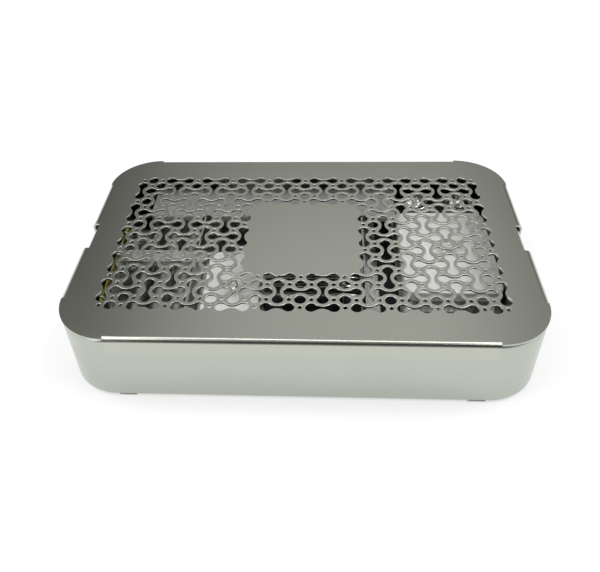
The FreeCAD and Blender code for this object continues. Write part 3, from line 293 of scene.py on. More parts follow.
def lathe(shell: Shell, profile: Sequence[Point2], place: Place, steps: int) -> None:
    """Turn a profile of radius and height about an axis.

    Args:
        shell: The mesh that takes the turned form.
        profile: Pairs of radius and height, from one end to the other; a radius of 0 ends in a point.
        place: Gives a point of the frame for radius, angle and height.
        steps: Straight steps round the axis.
    """
    angles = [FULL_TURN * number / steps for number in range(steps)]
    rings = []
    for radius, height in profile:
        rings.append(shell.ring(place(max(radius, POINT_RADIUS), angle, height) for angle in angles))
    shell.stack(rings)


def upright(x: float, y: float) -> Place:
    """A vertical axis for lathe().

    Args:
        x: The axis's place along the container.
        y: The axis's place across it.

    Returns:
        The function that places a point.
    """
    return lambda radius, angle, height: (x + radius * math.cos(angle), y + radius * math.sin(angle), height)


def lying_across(x: float, z: float) -> Place:
    """A level axis from front to rear for lathe().

    Args:
        x: The axis's place along the container.
        z: Its height.

    Returns:
        The function that places a point.
    """
    return lambda radius, angle, height: (x + radius * math.sin(angle), height, z + radius * math.cos(angle))


def lying_along(y: float, z: float) -> Place:
    """A level axis from left to right for lathe().

    Args:
        y: The axis's place across the container.
        z: Its height.

    Returns:
        The function that places a point.
    """
    return lambda radius, angle, height: (height, y + radius * math.cos(angle), z + radius * math.sin(angle))


# Finishes

class Grain(Enum):
    """Which way a sheet was brushed, as how finely its grain varies along X, Y and Z, per metre."""

    ALONG = (55.0, 2600.0, 2600.0)
    ACROSS = (2600.0, 55.0, 2600.0)
    UPRIGHT = (2600.0, 2600.0, 55.0)
    ROUND = (40.0, 40.0, 2600.0)


class NodeBoard:
    """The node tree of a material or world, with short calls that add nodes and join them."""

    def __init__(self, tree: bpy.types.NodeTree) -> None:
        """Empty the tree.

        Args:
            tree: The tree to fill.
        """
        self.tree = tree
        tree.nodes.clear()

    def add(
        self, kind: str, inputs: dict[str | int, object] | None = None, **settings: object,
    ) -> bpy.types.Node:
        """Add one node.

        Args:
            kind: Its type's name.
            inputs: Values or other nodes' sockets for its inputs, by name or number.
            **settings: Its own settings.

        Returns:
            The node.
        """
        node = self.tree.nodes.new(kind)
        for name, setting in settings.items():
            setattr(node, name, setting)
        for name, entry in (inputs or {}).items():
            if isinstance(entry, Socket):
                self.tree.links.new(entry, node.inputs[name])
            else:
                node.inputs[name].default_value = entry
        return node

    def place(self) -> Socket:
        """The point on the object, in metres."""
        return self.add("ShaderNodeTexCoord").outputs["Object"]

    def noise(self, place: Socket, scale: float, detail: float) -> Socket:
        """A cloudy value from 0 to 1.

        Args:
            place: The point.
            scale: How finely it varies, per unit of the point.
            detail: Octaves of finer variation.

        Returns:
            The value's socket.
        """
        return self.add("ShaderNodeTexNoise", {"Vector": place, "Scale": scale, "Detail": detail}).outputs[0]

    def stretched(self, place: Socket, grain: Grain) -> Socket:
        """A point stretched so that noise on it becomes a grain.

        Args:
            place: The point.
            grain: The direction of the grain.

        Returns:
            The stretched point's socket.
        """
        return self.add("ShaderNodeMapping", {"Vector": place, "Scale": grain.value}).outputs[0]

    def spread(self, value: Socket, low: float, high: float) -> Socket:
        """Noise's usual range spread between two values.

        Args:
            value: The noise.
            low: What its lower end becomes.
            high: What its upper end becomes.

        Returns:
            The value's socket.
        """
        limits = {"Value": value, "To Min": low, "To Max": high}
        limits["From Min"], limits["From Max"] = NOISE_RANGE
        return self.add("ShaderNodeMapRange", limits).outputs[0]

    def between(self, share: Socket, first: Colour, second: Colour) -> Socket:
        """A colour between two.

        Args:
            share: How far it is from the first to the second.
            first: The colour at 0.
            second: The colour at 1.

        Returns:
            The colour's socket.
        """
        colours = {"Factor": share, MIX_FIRST_COLOUR: (*first, 1.0), MIX_SECOND_COLOUR: (*second, 1.0)}
        return self.add("ShaderNodeMix", colours, data_type="RGBA").outputs[MIX_COLOUR]

    def calculate(self, operation: str, *entries: Socket | float) -> Socket:
        """A sum, product or other result.

        Args:
            operation: Blender's name of the operation.
            *entries: Its operands.

        Returns:
            The result's socket.
        """
        return self.add("ShaderNodeMath", dict(enumerate(entries)), operation=operation).outputs[0]

    def mixed(self, share: Socket, first: Socket | float, second: Socket | float) -> Socket:
        """A value between two.

        Args:
            share: How far it is from the first to the second.
            first: The value at 0.
            second: The value at 1.

        Returns:
            The value's socket.
        """
        values = {"Factor": share, "A": first, "B": second}
        return self.add("ShaderNodeMix", values, data_type="FLOAT").outputs[0]

    def levels(self, value: Socket, stops: Sequence[Point2]) -> Socket:
        """A level that follows a value along straight steps.

        Args:
            value: The value.
            stops: Pairs of value and level, in rising order.

        Returns:
            The level's socket.
        """
        result: Socket | float = stops[0][1]
        for (low, level), (high, after) in zip(stops, stops[1:]):
            part = {"Value": value, "From Min": low, "From Max": high, "To Min": 0.0, "To Max": after - level}
            result = self.calculate("ADD", self.add("ShaderNodeMapRange", part).outputs[0], result)
        return result

    def bump(self, height: Socket, depth: float, normal: Socket | None = None) -> Socket:
        """A surface's unevenness.

        Args:
            height: The height from 0 to 1.
            depth: How deep that is, in millimetres.
            normal: The surface that it lies on, if that is uneven already.

        Returns:
            The normal's socket.
        """
        inputs: dict[str | int, object] = {"Height": height, "Distance": depth * MILLIMETRE}
        if normal is not None:
            inputs["Normal"] = normal
        return self.add("ShaderNodeBump", inputs).outputs[0]


@dataclass(frozen=True)
class Finish:
    """What every finish has.

    Attributes:
        name: The material's name.
        colour: Its colour.
        roughness: Its roughness.
    """

    name: str
    colour: Colour
    roughness: float

    def drifting(self, board: NodeBoard, share: Socket, shares: Point2) -> Socket:
        """The colour made darker and lighter from place to place.

        Args:
            board: The material's tree.
            share: The noise that it follows.
            shares: The darkest and the lightest, as shares of the colour.

        Returns:
            The colour's socket.
        """
        first, second = (tuple(min(1.0, channel * part) for channel in self.colour) for part in shares)
        return board.between(share, first, second)

    def uneven(self, board: NodeBoard, share: Socket, swing: Point2) -> Socket:
        """The roughness with more and less of it from place to place.

        Args:
            board: The material's tree.
            share: The noise that it follows.
            swing: What the least and the most add to the roughness.

        Returns:
            The roughness's socket.
        """
        return board.spread(share, self.roughness + swing[0], self.roughness + swing[1])

    def surface(self, board: NodeBoard, place: Socket) -> dict[str, object]:
        """Wire up what sets the finish apart from the others.

        Args:
            board: The material's tree.
            place: The point on the object.

        Returns:
            The shader's inputs.
        """
        raise NotImplementedError

    def build(self) -> bpy.types.Material:
        """Make the material."""
        material = bpy.data.materials.new(self.name)
        material.use_nodes = True
        board = NodeBoard(material.node_tree)
        shader = board.add("ShaderNodeBsdfPrincipled", self.surface(board, board.place()))
        board.add("ShaderNodeOutputMaterial", {"Surface": shader.outputs[0]})
        return material


@dataclass(frozen=True)
class BrushedSteel(Finish):
    """Stainless sheet with a fine grain and a faint unevenness.

    Attributes:
        grain: The way of the brushing.
        grain_depth: Depth of the grain in millimetres.
        wave_depth: Depth of the unevenness in millimetres.
        wave_scale: How finely the unevenness varies, per metre.
        variation: How far the colour drifts, as a share.
        streak: How far the roughness drifts between the brush lines.
        cloud_scale: How finely the colour drifts, per metre.
    """

    grain: Grain
    grain_depth: float
    wave_depth: float
    wave_scale: float
    variation: float
    streak: float = 0.05
    cloud_scale: float = 38.0

    def surface(self, board: NodeBoard, place: Socket) -> dict[str, object]:
        """The shader's inputs."""
        lines = board.noise(board.stretched(place, self.grain), 1.0, 4.0)
        cloud = board.noise(place, self.cloud_scale, 4.0)
        wave = board.noise(place, self.wave_scale, 2.0)
        return {
            "Base Color": self.drifting(board, cloud, (1 - self.variation, 1 + self.variation)),
            "Metallic": 1.0,
            "Roughness": self.uneven(board, lines, (-self.streak, self.streak)),
            "Normal": board.bump(lines, self.grain_depth, board.bump(wave, self.wave_depth)),
        }


@dataclass(frozen=True)
class PolishedSteel(Finish):
    """Bright metal with hairline scratches and a breath of haze.

    Attributes:
        haze_scale: How finely the haze varies, per metre.
        haze: The least and the most roughness, as shares of it.
        scratch_scale: How finely the scratches lie, as a share of a brushed sheet's grain.
        scratch_depth: Their depth in millimetres.
        drift: The darkest and the lightest colour, as shares of it.
    """

    haze_scale: float = 160.0
    haze: Point2 = (0.7, 1.5)
    scratch_scale: float = 0.6
    scratch_depth: float = 0.003
    drift: Point2 = (0.94, 1.04)

    def surface(self, board: NodeBoard, place: Socket) -> dict[str, object]:
        """The shader's inputs."""
        hairlines = board.noise(board.stretched(place, Grain.ACROSS), self.scratch_scale, 5.0)
        cloud = board.noise(place, self.haze_scale, 3.0)
        least, most = (self.roughness * share for share in self.haze)
        return {
            "Base Color": self.drifting(board, cloud, self.drift),
            "Metallic": 1.0,
            "Roughness": board.spread(cloud, least, most),
            "Normal": board.bump(hairlines, self.scratch_depth),
        }


@dataclass(frozen=True)
class SatinWhiteSteel(Finish):
    """Pale blasted sheet, which scatters more light than it mirrors.

    Attributes:
        metal: How far it mirrors as metal does.
        pit_scale: How finely it is blasted, per metre.
        pit_depth: Depth of the pits in millimetres.
        cloud_scale: How finely the colour drifts, per metre.
        drift: The darkest and the lightest colour, as shares of it.
        swing: What the least and the most add to the roughness.
    """

    metal: float = 0.05
    pit_scale: float = 3200.0
    pit_depth: float = 0.01
    cloud_scale: float = 50.0
    drift: Point2 = (0.95, 1.03)
    swing: Point2 = (-0.06, 0.06)

    def surface(self, board: NodeBoard, place: Socket) -> dict[str, object]:
        """The shader's inputs."""
        pits = board.noise(place, self.pit_scale, 2.0)
        cloud = board.noise(place, self.cloud_scale, 3.0)
        return {
            "Base Color": self.drifting(board, cloud, self.drift),
            "Metallic": self.metal,
            "Roughness": self.uneven(board, pits, self.swing),
            "Normal": board.bump(pits, self.pit_depth),
        }


@dataclass(frozen=True)
class HardGold(Finish):
    """Olive-gold hard coat on turned metal, with faint tool marks round it.

    Attributes:
        cloud_scale: How finely the coat's colour drifts, per metre.
        mark_depth: Depth of the tool marks in millimetres.
        drift: The darkest and the lightest colour, as shares of it.
        swing: What the least and the most add to the roughness.
    """

    cloud_scale: float = 300.0
    mark_depth: float = 0.008
    drift: Point2 = (0.8, 1.2)
    swing: Point2 = (-0.06, 0.08)

    def surface(self, board: NodeBoard, place: Socket) -> dict[str, object]:
        """The shader's inputs."""
        marks = board.noise(board.stretched(place, Grain.ACROSS), 1.0, 2.0)
        cloud = board.noise(place, self.cloud_scale, 3.0)
        return {
            "Base Color": self.drifting(board, cloud, self.drift),
            "Metallic": 1.0,
            "Roughness": self.uneven(board, cloud, self.swing),
            "Normal": board.bump(marks, self.mark_depth),
        }


@dataclass(frozen=True)
class Silicone(Finish):
    """Matt rubber with a fine skin and a little dust.

    Attributes:
        skin_scale: How fine the skin is, per metre.
        skin_depth: Its depth in millimetres.
        dust_scale: How finely the dust lies, per metre.
        shine: The strength of its highlights.
        bloom: The strength of the soft light at its edges.
        drift: The darkest and the lightest colour, as shares of it.
        swing: What the least and the most add to the roughness.
    """

    skin_scale: float = 2400.0
    skin_depth: float = 0.02
    dust_scale: float = 120.0
    shine: float = 0.4
    bloom: float = 0.08
    drift: Point2 = (0.8, 1.35)
    swing: Point2 = (-0.08, 0.1)

    def surface(self, board: NodeBoard, place: Socket) -> dict[str, object]:
        """The shader's inputs."""
        skin = board.noise(place, self.skin_scale, 3.0)
        dust = board.noise(place, self.dust_scale, 5.0)
        return {
            "Base Color": self.drifting(board, dust, self.drift),
            "Roughness": self.uneven(board, dust, self.swing),
            "Specular IOR Level": self.shine,
            "Sheen Weight": self.bloom,
            "Sheen Roughness": 0.5,
            "Normal": board.bump(skin, self.skin_depth),
        }


@dataclass(frozen=True)
class MilledPlastic(Finish):
    """Dark plastic with fine milling lines and softly polished faces.

    Attributes:
        line_scale: How finely the lines lie, as a share of a brushed sheet's grain.
        line_depth: Their depth in millimetres.
        cloud_scale: How finely the colour drifts, per metre.
        drift: The darkest and the lightest colour, as shares of it.
        swing: What the least and the most add to the roughness.
    """

    line_scale: float = 0.7
    line_depth: float = 0.01
    cloud_scale: float = 90.0
    drift: Point2 = (0.85, 1.25)
    swing: Point2 = (-0.05, 0.08)

    def surface(self, board: NodeBoard, place: Socket) -> dict[str, object]:
        """The shader's inputs."""
        lines = board.noise(board.stretched(place, Grain.ALONG), self.line_scale, 3.0)
        cloud = board.noise(place, self.cloud_scale, 3.0)
        return {
            "Base Color": self.drifting(board, cloud, self.drift),
            "Roughness": self.uneven(board, cloud, self.swing),
            "Specular IOR Level": 0.5,
            "Normal": board.bump(lines, self.line_depth),
        }


class Palette:
    """Every finish of the container, made once."""

    def __init__(self) -> None:
        """Build the materials."""
        self.lid = BrushedSteel(
            "lid_satin_steel", (0.485, 0.50, 0.435), 0.22, Grain.ALONG,
            grain_depth=0.0004, wave_depth=0.012, wave_scale=24.0, variation=0.012, streak=0.02,
        ).build()
        # The holes' rounded rims get a lighter, smoother steel than the sheet. This is partly a polished
        # deburred edge and partly a painted highlight that makes them read as bright rim lines.
        self.lid_rim_polish_and_highlight = PolishedSteel("lid_deburred_edge_and_highlight", (0.80, 0.80, 0.76), 0.3).build()
        self.base = BrushedSteel(
            "drawn_steel", (0.465, 0.494, 0.443), 0.24, Grain.ROUND,
            grain_depth=0.002, wave_depth=0.05, wave_scale=45.0, variation=0.035, streak=0.04,
        ).build()
        self.insert = BrushedSteel(
            "insert_satin_steel", (0.70, 0.70, 0.69), 0.26, Grain.ACROSS,
            grain_depth=0.003, wave_depth=0.03, wave_scale=60.0, variation=0.05,
        ).build()
        self.box = BrushedSteel(
            "parts_box_steel", (0.70, 0.70, 0.69), 0.28, Grain.UPRIGHT,
            grain_depth=0.003, wave_depth=0.02, wave_scale=60.0, variation=0.05,
        ).build()
        self.cover = SatinWhiteSteel("cover_blasted_steel", (0.96, 0.96, 0.955), 0.4).build()
        self.plate = SatinWhiteSteel("plate_blasted_steel", (0.35, 0.36, 0.345), 0.3).build()
        self.instrument = BrushedSteel(
            "instrument_steel", (0.46, 0.46, 0.45), 0.34, Grain.ALONG,
            grain_depth=0.010, wave_depth=0.01, wave_scale=200.0, variation=0.08,
        ).build()
        self.polished = PolishedSteel("polished_steel", (0.86, 0.86, 0.85), 0.13).build()
        self.gold = HardGold("olive_gold_coat", (0.44, 0.40, 0.12), 0.18).build()
        self.mat = Silicone("black_silicone", (0.016, 0.016, 0.018), 0.62).build()
        self.comb = Silicone("light_grey_silicone", (0.42, 0.42, 0.41), 0.55).build()
        self.block = MilledPlastic("milled_black_plastic", (0.022, 0.022, 0.026), 0.36).build()


# The lid

@dataclass
class LidSheet:
    """The lid, one folded sheet: the perforated field, the plain panel, four skirts and open corners.

    Sites whose column and row add up to an odd number are large round holes, and sites with both
    numbers odd are small ones. At the rest a waisted slot joins the two large holes beside the site,
    along the lid and across it by turns.

    Attributes:
        pitch: Distance between neighbouring sites.
        columns: Sites along the lid.
        rows: Sites across it.
        margin_columns: Columns on each side of the plain panel.
        margin_rows: Rows in front of it and behind it.
        large: Radius of a large hole and of a slot's ends.
        small: Radius of a small hole.
        waist: Half the width of a slot's waist.
        half_length: From the middle to the outer face of a short side's skirts.
        half_width: From the middle to the outer face of a long side's skirt.
        corner: The corners' centres, along and across.
        corner_radius: The corners' radius.
        top: Height of the upper face.
        sheet: Thickness of the sheet.
        bend: Inner radius of the bends.
        skirt_bottom: Height of the skirts' lower edge.
        skirt_corner: Radius of their lower corners.
        notch_half: Half the length of a finger notch.
        notch_depth: How far it reaches in from the skirts' outer face.
        notch_corner: Radius of its inner corners.
        edge: Width of the rounding at the holes.
        skirt_edge: Width of the rounding along the skirts' edges.
        skirt_angles: Angles at which that rounding has its lines.
        skirt_steps: Straight steps round a skirt's lower corner.
        slot_steps: Straight steps round each end of a slot.
        waist_steps: Straight steps along each side of its waist.
        small_steps: Straight steps round a small hole.
        large_steps: Straight steps round a large hole.
        corner_steps: Straight steps round an open corner.
        notch_steps: Straight steps round a notch's inner corner.
        bend_steps: Straight steps across a bend.
        crease: The angle in degrees above which an edge stays sharp.
    """

    pitch: float = 5.5
    columns: int = 37
    rows: int = 21
    margin_columns: int = 13
    margin_rows: int = 5
    large: float = 2.94
    small: float = 1.15
    waist: float = 0.83
    half_length: float = 120.0
    half_width: float = 78.5
    corner: Point2 = (91.7, 50.2)
    corner_radius: float = 27.3
    top: float = 42.0
    sheet: float = 1.0
    bend: float = 2.0
    skirt_bottom: float = 32.5
    skirt_corner: float = 1.5
    notch_half: float = 10.75
    notch_depth: float = 4.1
    notch_corner: float = 0.8
    edge: float = 0.12
    skirt_edge: float = 0.35
    skirt_angles: tuple[int, ...] = (0, 30, 60, 90)
    skirt_steps: int = 5
    slot_steps: int = 22
    waist_steps: int = 8
    small_steps: int = 16
    large_steps: int = 32
    corner_steps: int = 24
    notch_steps: int = 4
    bend_steps: int = 12
    crease: float = 18.0

    def is_hole(self, column: int, row: int) -> bool:
        """Whether a site lies in the field and outside the plain panel."""
        in_field = 0 <= column < self.columns and 0 <= row < self.rows
        beside = not self.margin_columns <= column < self.columns - self.margin_columns
        past = not self.margin_rows <= row < self.rows - self.margin_rows
        return in_field and (beside or past)

    def centre(self, column: int, row: int) -> Point2:
        """The place of a site."""
        return (column - (self.columns - 1) / 2) * self.pitch, (row - (self.rows - 1) / 2) * self.pitch

    def round_hole(self, centre: Point2, radius: float, steps: int) -> Outline:
        """A round hole's outline, as a function of how far it is grown."""
        return lambda growth: arc(centre, radius + growth, 0, 360 * (1 - 1 / steps), steps - 1)

    def waisted_slot(self, centre: Point2, step: tuple[int, int]) -> Outline:
        """A waisted slot's outline, as a function of how far it is grown.

        Args:
            centre: The middle of its waist.
            step: The lattice direction that it lies along.

        Returns:
            The function.
        """
        neck = (self.pitch ** 2 + self.waist ** 2 - self.large ** 2) / (2 * (self.large - self.waist))
        lift = neck + self.waist
        lean = math.degrees(math.atan2(lift, self.pitch))

        def outline(growth: float) -> list[Point2]:
            """The outline's points, anticlockwise."""
            radius, hollow = self.large + growth, neck - growth
            local = arc((self.pitch, 0), radius, lean - 180, 180 - lean, self.slot_steps)
            local += arc((0, lift), hollow, -lean, lean - 180, self.waist_steps)[1:-1]
            local += arc((-self.pitch, 0), radius, lean, 360 - lean, self.slot_steps)
            local += arc((0, -lift), hollow, 180 - lean, lean, self.waist_steps)[1:-1]
            if step == (1, 0):
                return [(centre[0] + along, centre[1] + across) for along, across in local]
            return [(centre[0] - across, centre[1] + along) for along, across in local]

        return outline

    def holes(self) -> list[Outline]:
        """Every hole of the field, each as a function of how far its outline is grown."""
        sites = [(c, r) for c in range(self.columns) for r in range(self.rows) if self.is_hole(c, r)]
        found: list[Outline] = []
        joined: set[tuple[int, int]] = set()
        for column, row in sites:
            if (column + row) % 2:
                continue
            step = (1, 0) if (column + row) % 4 == 0 else (0, 1)
            ends = [(column - step[0], row - step[1]), (column + step[0], row + step[1])]
            if column % 2 == 0 and all(self.is_hole(*end) for end in ends):
                found.append(self.waisted_slot(self.centre(column, row), step))
                joined.update(ends)
            else:
                found.append(self.round_hole(self.centre(column, row), self.small, self.small_steps))
        singles = [site for site in sites if sum(site) % 2 and site not in joined]
        found += [self.round_hole(self.centre(*site), self.large, self.large_steps) for site in singles]
        return found

    def flat_outline(self) -> list[Point2]:
        """The flat part's outline, anticlockwise: bend lines, open corners and the two notches."""
        bend = self.bend + self.sheet
        x, y = self.half_length - bend, self.half_width - bend
        inner = self.half_length - self.notch_depth
        half, soft = self.notch_half, self.notch_corner
        right = [(x, -self.corner[1]), (x, -half)]
        right += arc((inner + soft, soft - half), soft, 270, 180, self.notch_steps)
        right += arc((inner + soft, half - soft), soft, 180, 90, self.notch_steps)
        right += [(x, half), (x, self.corner[1])]
        right += arc(self.corner, self.corner_radius, 0, 90, self.corner_steps) + [(self.corner[0], y)]
        left = [(-along, -across) for along, across in right]
        front_centre = (self.corner[0], -self.corner[1])
        front_right = [(self.corner[0], -y)]
        front_right += arc(front_centre, self.corner_radius, 270, 360, self.corner_steps)
        rear_left = [(-along, -across) for along, across in front_right]
        return right + rear_left + left + front_right

    def fill(self, shell: Shell) -> None:
        """Make the flat part: its top, its underside and the walls of its holes.

        Args:
            shell: The mesh that takes it.
        """
        holes = self.holes()
        border = self.flat_outline()
        plan = list(border)
        loops = [list(range(len(border)))]
        for hole in holes:
            outline = hole(0.0)
            loops.append(list(range(len(plan), len(plan) + len(outline))))
            plan += outline
        vectors = [Vector(point) for point in plan]
        points, _, triangles, sources, _, _ = delaunay_2d_cdt(
            vectors, [], loops, INSIDE_WITH_HOLES, TOUCHING,
        )
        grown = list(border) + [point for hole in holes for point in hole(self.edge)]
        origin = [source[0] for source in sources]
        top = shell.ring((*grown[number], self.top) for number in origin)
        under = shell.ring((point.x, point.y, self.top - self.sheet) for point in points)
        for triangle in triangles:
            shell.face([top[corner] for corner in triangle])
            shell.face([under[corner] for corner in reversed(triangle)])
        half = self.edge * (1 - math.sqrt(0.5))  # where a rounding is halfway round
        for hole in holes:
            rings = [shell.ring((*point, self.top) for point in hole(self.edge))]
            rings.append(shell.ring((*point, self.top - half) for point in hole(half)))
            rings.append(shell.ring((*point, self.top - self.edge) for point in hole(0.0)))
            rings.append(shell.ring((*point, self.top - self.sheet) for point in hole(0.0)))
            # The rims' two rounded bands take finish 1, the lighter rim steel: a polished edge and a painted
            # highlight.
            shell.band(rings[0], rings[1], finish=1)
            shell.band(rings[1], rings[2], finish=1)
            shell.band(rings[2], rings[3])
        self.free_edges(shell, border)

    def free_edges(self, shell: Shell, border: Sequence[Point2]) -> None:
        """Close the flat part's edge wherever no skirt goes down from it.

        Args:
            shell: The mesh that takes the edge.
            border: The flat part's outline.
        """
        bend = self.bend + self.sheet
        x, y = self.half_length - bend, self.half_width - bend
        for first, second in zip(border, list(border[1:]) + [border[0]]):
            along_skirt = all(abs(abs(point[1]) - y) < TOUCHING for point in (first, second))
            beside_skirt = all(abs(abs(point[0]) - x) < TOUCHING for point in (first, second))
            if along_skirt or beside_skirt:
                continue
            upper = shell.ring(((*first, self.top), (*second, self.top)))
            lower = shell.ring(((*first, self.top - self.sheet), (*second, self.top - self.sheet)))
            shell.band(upper, lower, closed=False)

    def skirt(self, shell: Shell, reach: float, run: Point2, place: Place) -> None:
        """One skirt with its bend.

        Args:
            shell: The mesh that takes it.
            reach: From the lid's middle to the skirt's outer face.
            run: Where the skirt starts and ends, along itself.
            place: Gives a point of the frame for the distances along and outwards and the height.
        """
        outer = self.bend + self.sheet
        centre = (reach - outer, self.top - outer)
        steps = self.bend_steps
        outer_arc, inner_arc = arc(centre, outer, 90, 0, steps), arc(centre, self.bend, 90, 0, steps)
        ends = []
        for along in run:
            lines = (outer_arc, inner_arc)
            ends.append([shell.ring(place(along, *point) for point in line) for line in lines])
        for side in (0, 1):
            shell.band(ends[0][side], ends[1][side], closed=False)
        for end in ends:
            shell.band(end[0], end[1], closed=False)
        low = self.skirt_bottom
        soft = self.skirt_corner
        path = [(run[0], centre[1])] + arc((run[0] + soft, low + soft), soft, 180, 270, self.skirt_steps)
        path += arc((run[1] - soft, low + soft), soft, 270, 360, self.skirt_steps) + [(run[1], centre[1])]
        rings = []
        for angle in self.skirt_angles:
            inset = self.skirt_edge * (1 - math.sin(math.radians(angle)))
            depth = self.skirt_edge * (1 - math.cos(math.radians(angle)))
            line = [(min(max(along, run[0] + inset), run[1] - inset), max(height, low + inset))
                    for along, height in path]
            rings.append(shell.ring(place(along, reach - depth, height) for along, height in line))
        back = shell.ring(place(along, reach - self.sheet, height) for along, height in path)
        corner_start = shell.ring((place(run[0], reach, centre[1]), place(run[1], reach, centre[1])))
        shell.face(rings[0])
        shell.face(list(reversed(back)))
        for first, second in zip(rings, rings[1:]):
            shell.band(first, second, closed=False)
            shell.face((corner_start[0], first[0], second[0]))
            shell.face((corner_start[1], second[-1], first[-1]))
        shell.band(rings[-1], back, closed=False)

    def build(self, palette: Palette) -> bpy.types.Object:
        """Make the lid.

        Args:
            palette: The finishes.

        Returns:
            The piece.
        """
        shell = Shell()
        self.fill(shell)
        for sign in (-1, 1):
            self.skirt(
                shell, self.half_width, (-self.corner[0], self.corner[0]),
                lambda along, out, height, sign=sign: (along, sign * out, height),
            )
            for run in ((-self.corner[1], -self.notch_half), (self.notch_half, self.corner[1])):
                self.skirt(
                    shell, self.half_length, run,
                    lambda along, out, height, sign=sign: (sign * out, along, height),
                )
        piece = shell.to_object("lid_sheet", (palette.lid, palette.lid_rim_polish_and_highlight), self.crease)
        keep_flat(piece.data)
        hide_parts("lid_frame", "lid_grille")
        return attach(piece, "lid")


# The base

@dataclass
class BaseTub:
    """The drawn tub: straight walls, a rounded shoulder and a flat lip round the mouth.

    Attributes:
        corner: The corners' centres, along and across.
        corner_radius: Their radius at the walls.
        bottom: Height of the underside.
        lip_top: Height of the lip's upper face.
        sheet: Thickness of the sheet.
        shoulder: Outer radius of the shoulder.
        heel: Outer radius between the walls and the underside.
        lip_reach: From the walls' outer face to the mouth.
        lip_edge: Width of the rounding at the mouth.
        strip: Height of the narrow faces that keep the wall's shading straight.
        corner_steps: Straight steps round a corner.
        heel_steps: Straight steps round the heel, outside and inside.
        shoulder_steps: Straight steps round the shoulder, outside and inside.
        crease: The angle in degrees above which an edge stays sharp.
    """

    corner: Point2 = (91.7, 50.2)
    corner_radius: float = 27.0
    bottom: float = 0.8
    lip_top: float = 41.0
    sheet: float = 1.0
    shoulder: float = 4.5
    heel: float = 1.5
    lip_reach: float = 8.0
    lip_edge: float = 0.15
    strip: float = 0.4
    corner_steps: int = 32
    heel_steps: tuple[int, int] = (6, 4)
    shoulder_steps: tuple[int, int] = (16, 8)
    crease: float = 30.0

    def wall_profile(self) -> list[Point2]:
        """The tub's section, as pairs of inset and height, from the underside round to the floor."""
        heel, shoulder, top = self.heel, self.shoulder, self.lip_top
        low, high = (heel, self.bottom + heel), (shoulder, top - shoulder)
        outer = arc(low, heel, 270, 180, self.heel_steps[0])
        outer += [(0.0, low[1] + self.strip), (0.0, high[1] - self.strip)]
        outer += arc(high, shoulder, 180, 90, self.shoulder_steps[0])
        lip = [(self.lip_reach - self.lip_edge, top), (self.lip_reach, top - self.lip_edge)]
        lip += [(self.lip_reach, top - self.sheet)]
        inner = arc(high, shoulder - self.sheet, 90, 180, self.shoulder_steps[1])
        inner += arc(low, heel - self.sheet, 180, 270, self.heel_steps[1])
        return outer + lip + inner

    def build(self, palette: Palette) -> bpy.types.Object:
        """Make the tub.

        Args:
            palette: The finishes.

        Returns:
            The piece.
        """
        shell = Shell()
        rings = []
        for inset, height in self.wall_profile():
            outline = rounded_outline(self.corner, self.corner_radius - inset, self.corner_steps)
            rings.append(shell.ring((*point, height) for point in outline))
        shell.stack(rings)
        piece = shell.to_object("base_tub_shell", (palette.base,), self.crease)
        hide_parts("base_tub")
        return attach(piece, "base")


@dataclass
class FloorMat:
    """The silicone mat on the tub's floor, with small raised nubs that keep the load clear of it.

    Attributes:
        corner: The corners' centres, along and across.
        corner_radius: Their radius.
        bottom: Height of the underside.
        top: Height of the nubs' tops.
        nub_height: How far a nub stands up.
        nub_pitch: Distance between neighbouring nubs.
        nub_radius: A nub's radius.
        nub_profile: Shares of that radius, each with its distance below the top.
        nub_steps: Straight steps round a nub.
        margin: From the mat's edge to the outermost nubs' middles.
        soft: Width of the rounding along the edges.
        corner_steps: Straight steps round a corner.
        crease: The angle in degrees above which an edge stays sharp.
    """

    corner: Point2 = (91.7, 50.2)
    corner_radius: float = 23.0
    bottom: float = 1.8
    top: float = 3.8
    nub_height: float = 0.7
    nub_pitch: float = 7.0
    nub_radius: float = 1.5
    nub_profile: Sequence[Point2] = ((1.0, 0.8), (0.9, 0.35), (0.55, 0.06), (0.0, 0.0))
    nub_steps: int = 8
    margin: float = 4.0
    soft: float = 0.4
    corner_steps: int = 10
    crease: float = 45.0

    def nub_places(self) -> list[Point2]:
        """The nubs' places, in rows that are offset by half a pitch."""
        half_length = self.corner[0] + self.corner_radius - self.margin
        half_width = self.corner[1] + self.corner_radius - self.margin
        row_step = self.nub_pitch * math.sqrt(0.75)
        rows = int(half_width / row_step)
        found = []
        for row in range(-rows, rows + 1):
            shift = self.nub_pitch / 2 if row % 2 else 0.0
            count = int((half_length - abs(shift)) / self.nub_pitch)
            for number in range(-count, count + 1):
                x, y = number * self.nub_pitch + shift, row * row_step
                past = (max(0.0, abs(x) - self.corner[0]), max(0.0, abs(y) - self.corner[1]))
                if math.hypot(*past) < self.corner_radius - self.margin:
                    found.append((x, y))
        return found

    def build(self, palette: Palette) -> bpy.types.Object:
        """Make the mat.

        Args:
            palette: The finishes.

        Returns:
            The piece.
        """
        shell = Shell()
        plate_top = self.top - self.nub_height
        rings = []
        for inset, height in ((self.soft, self.bottom), (0.0, self.bottom + self.soft),
                              (0.0, plate_top - self.soft), (self.soft, plate_top)):
            outline = rounded_outline(self.corner, self.corner_radius - inset, self.corner_steps)
            rings.append(shell.ring((*point, height) for point in outline))
        shell.stack(rings)
        dome = [(self.nub_radius * share, self.top - drop) for share, drop in self.nub_profile]
        for x, y in self.nub_places():
            lathe(shell, dome, upright(x, y), self.nub_steps)
        piece = shell.to_object("floor_mat_nubbed", (palette.mat,), self.crease)
        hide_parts("floor_mat")
        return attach(piece, "base")


# Pieces that keep the drawing's form and get softened edges

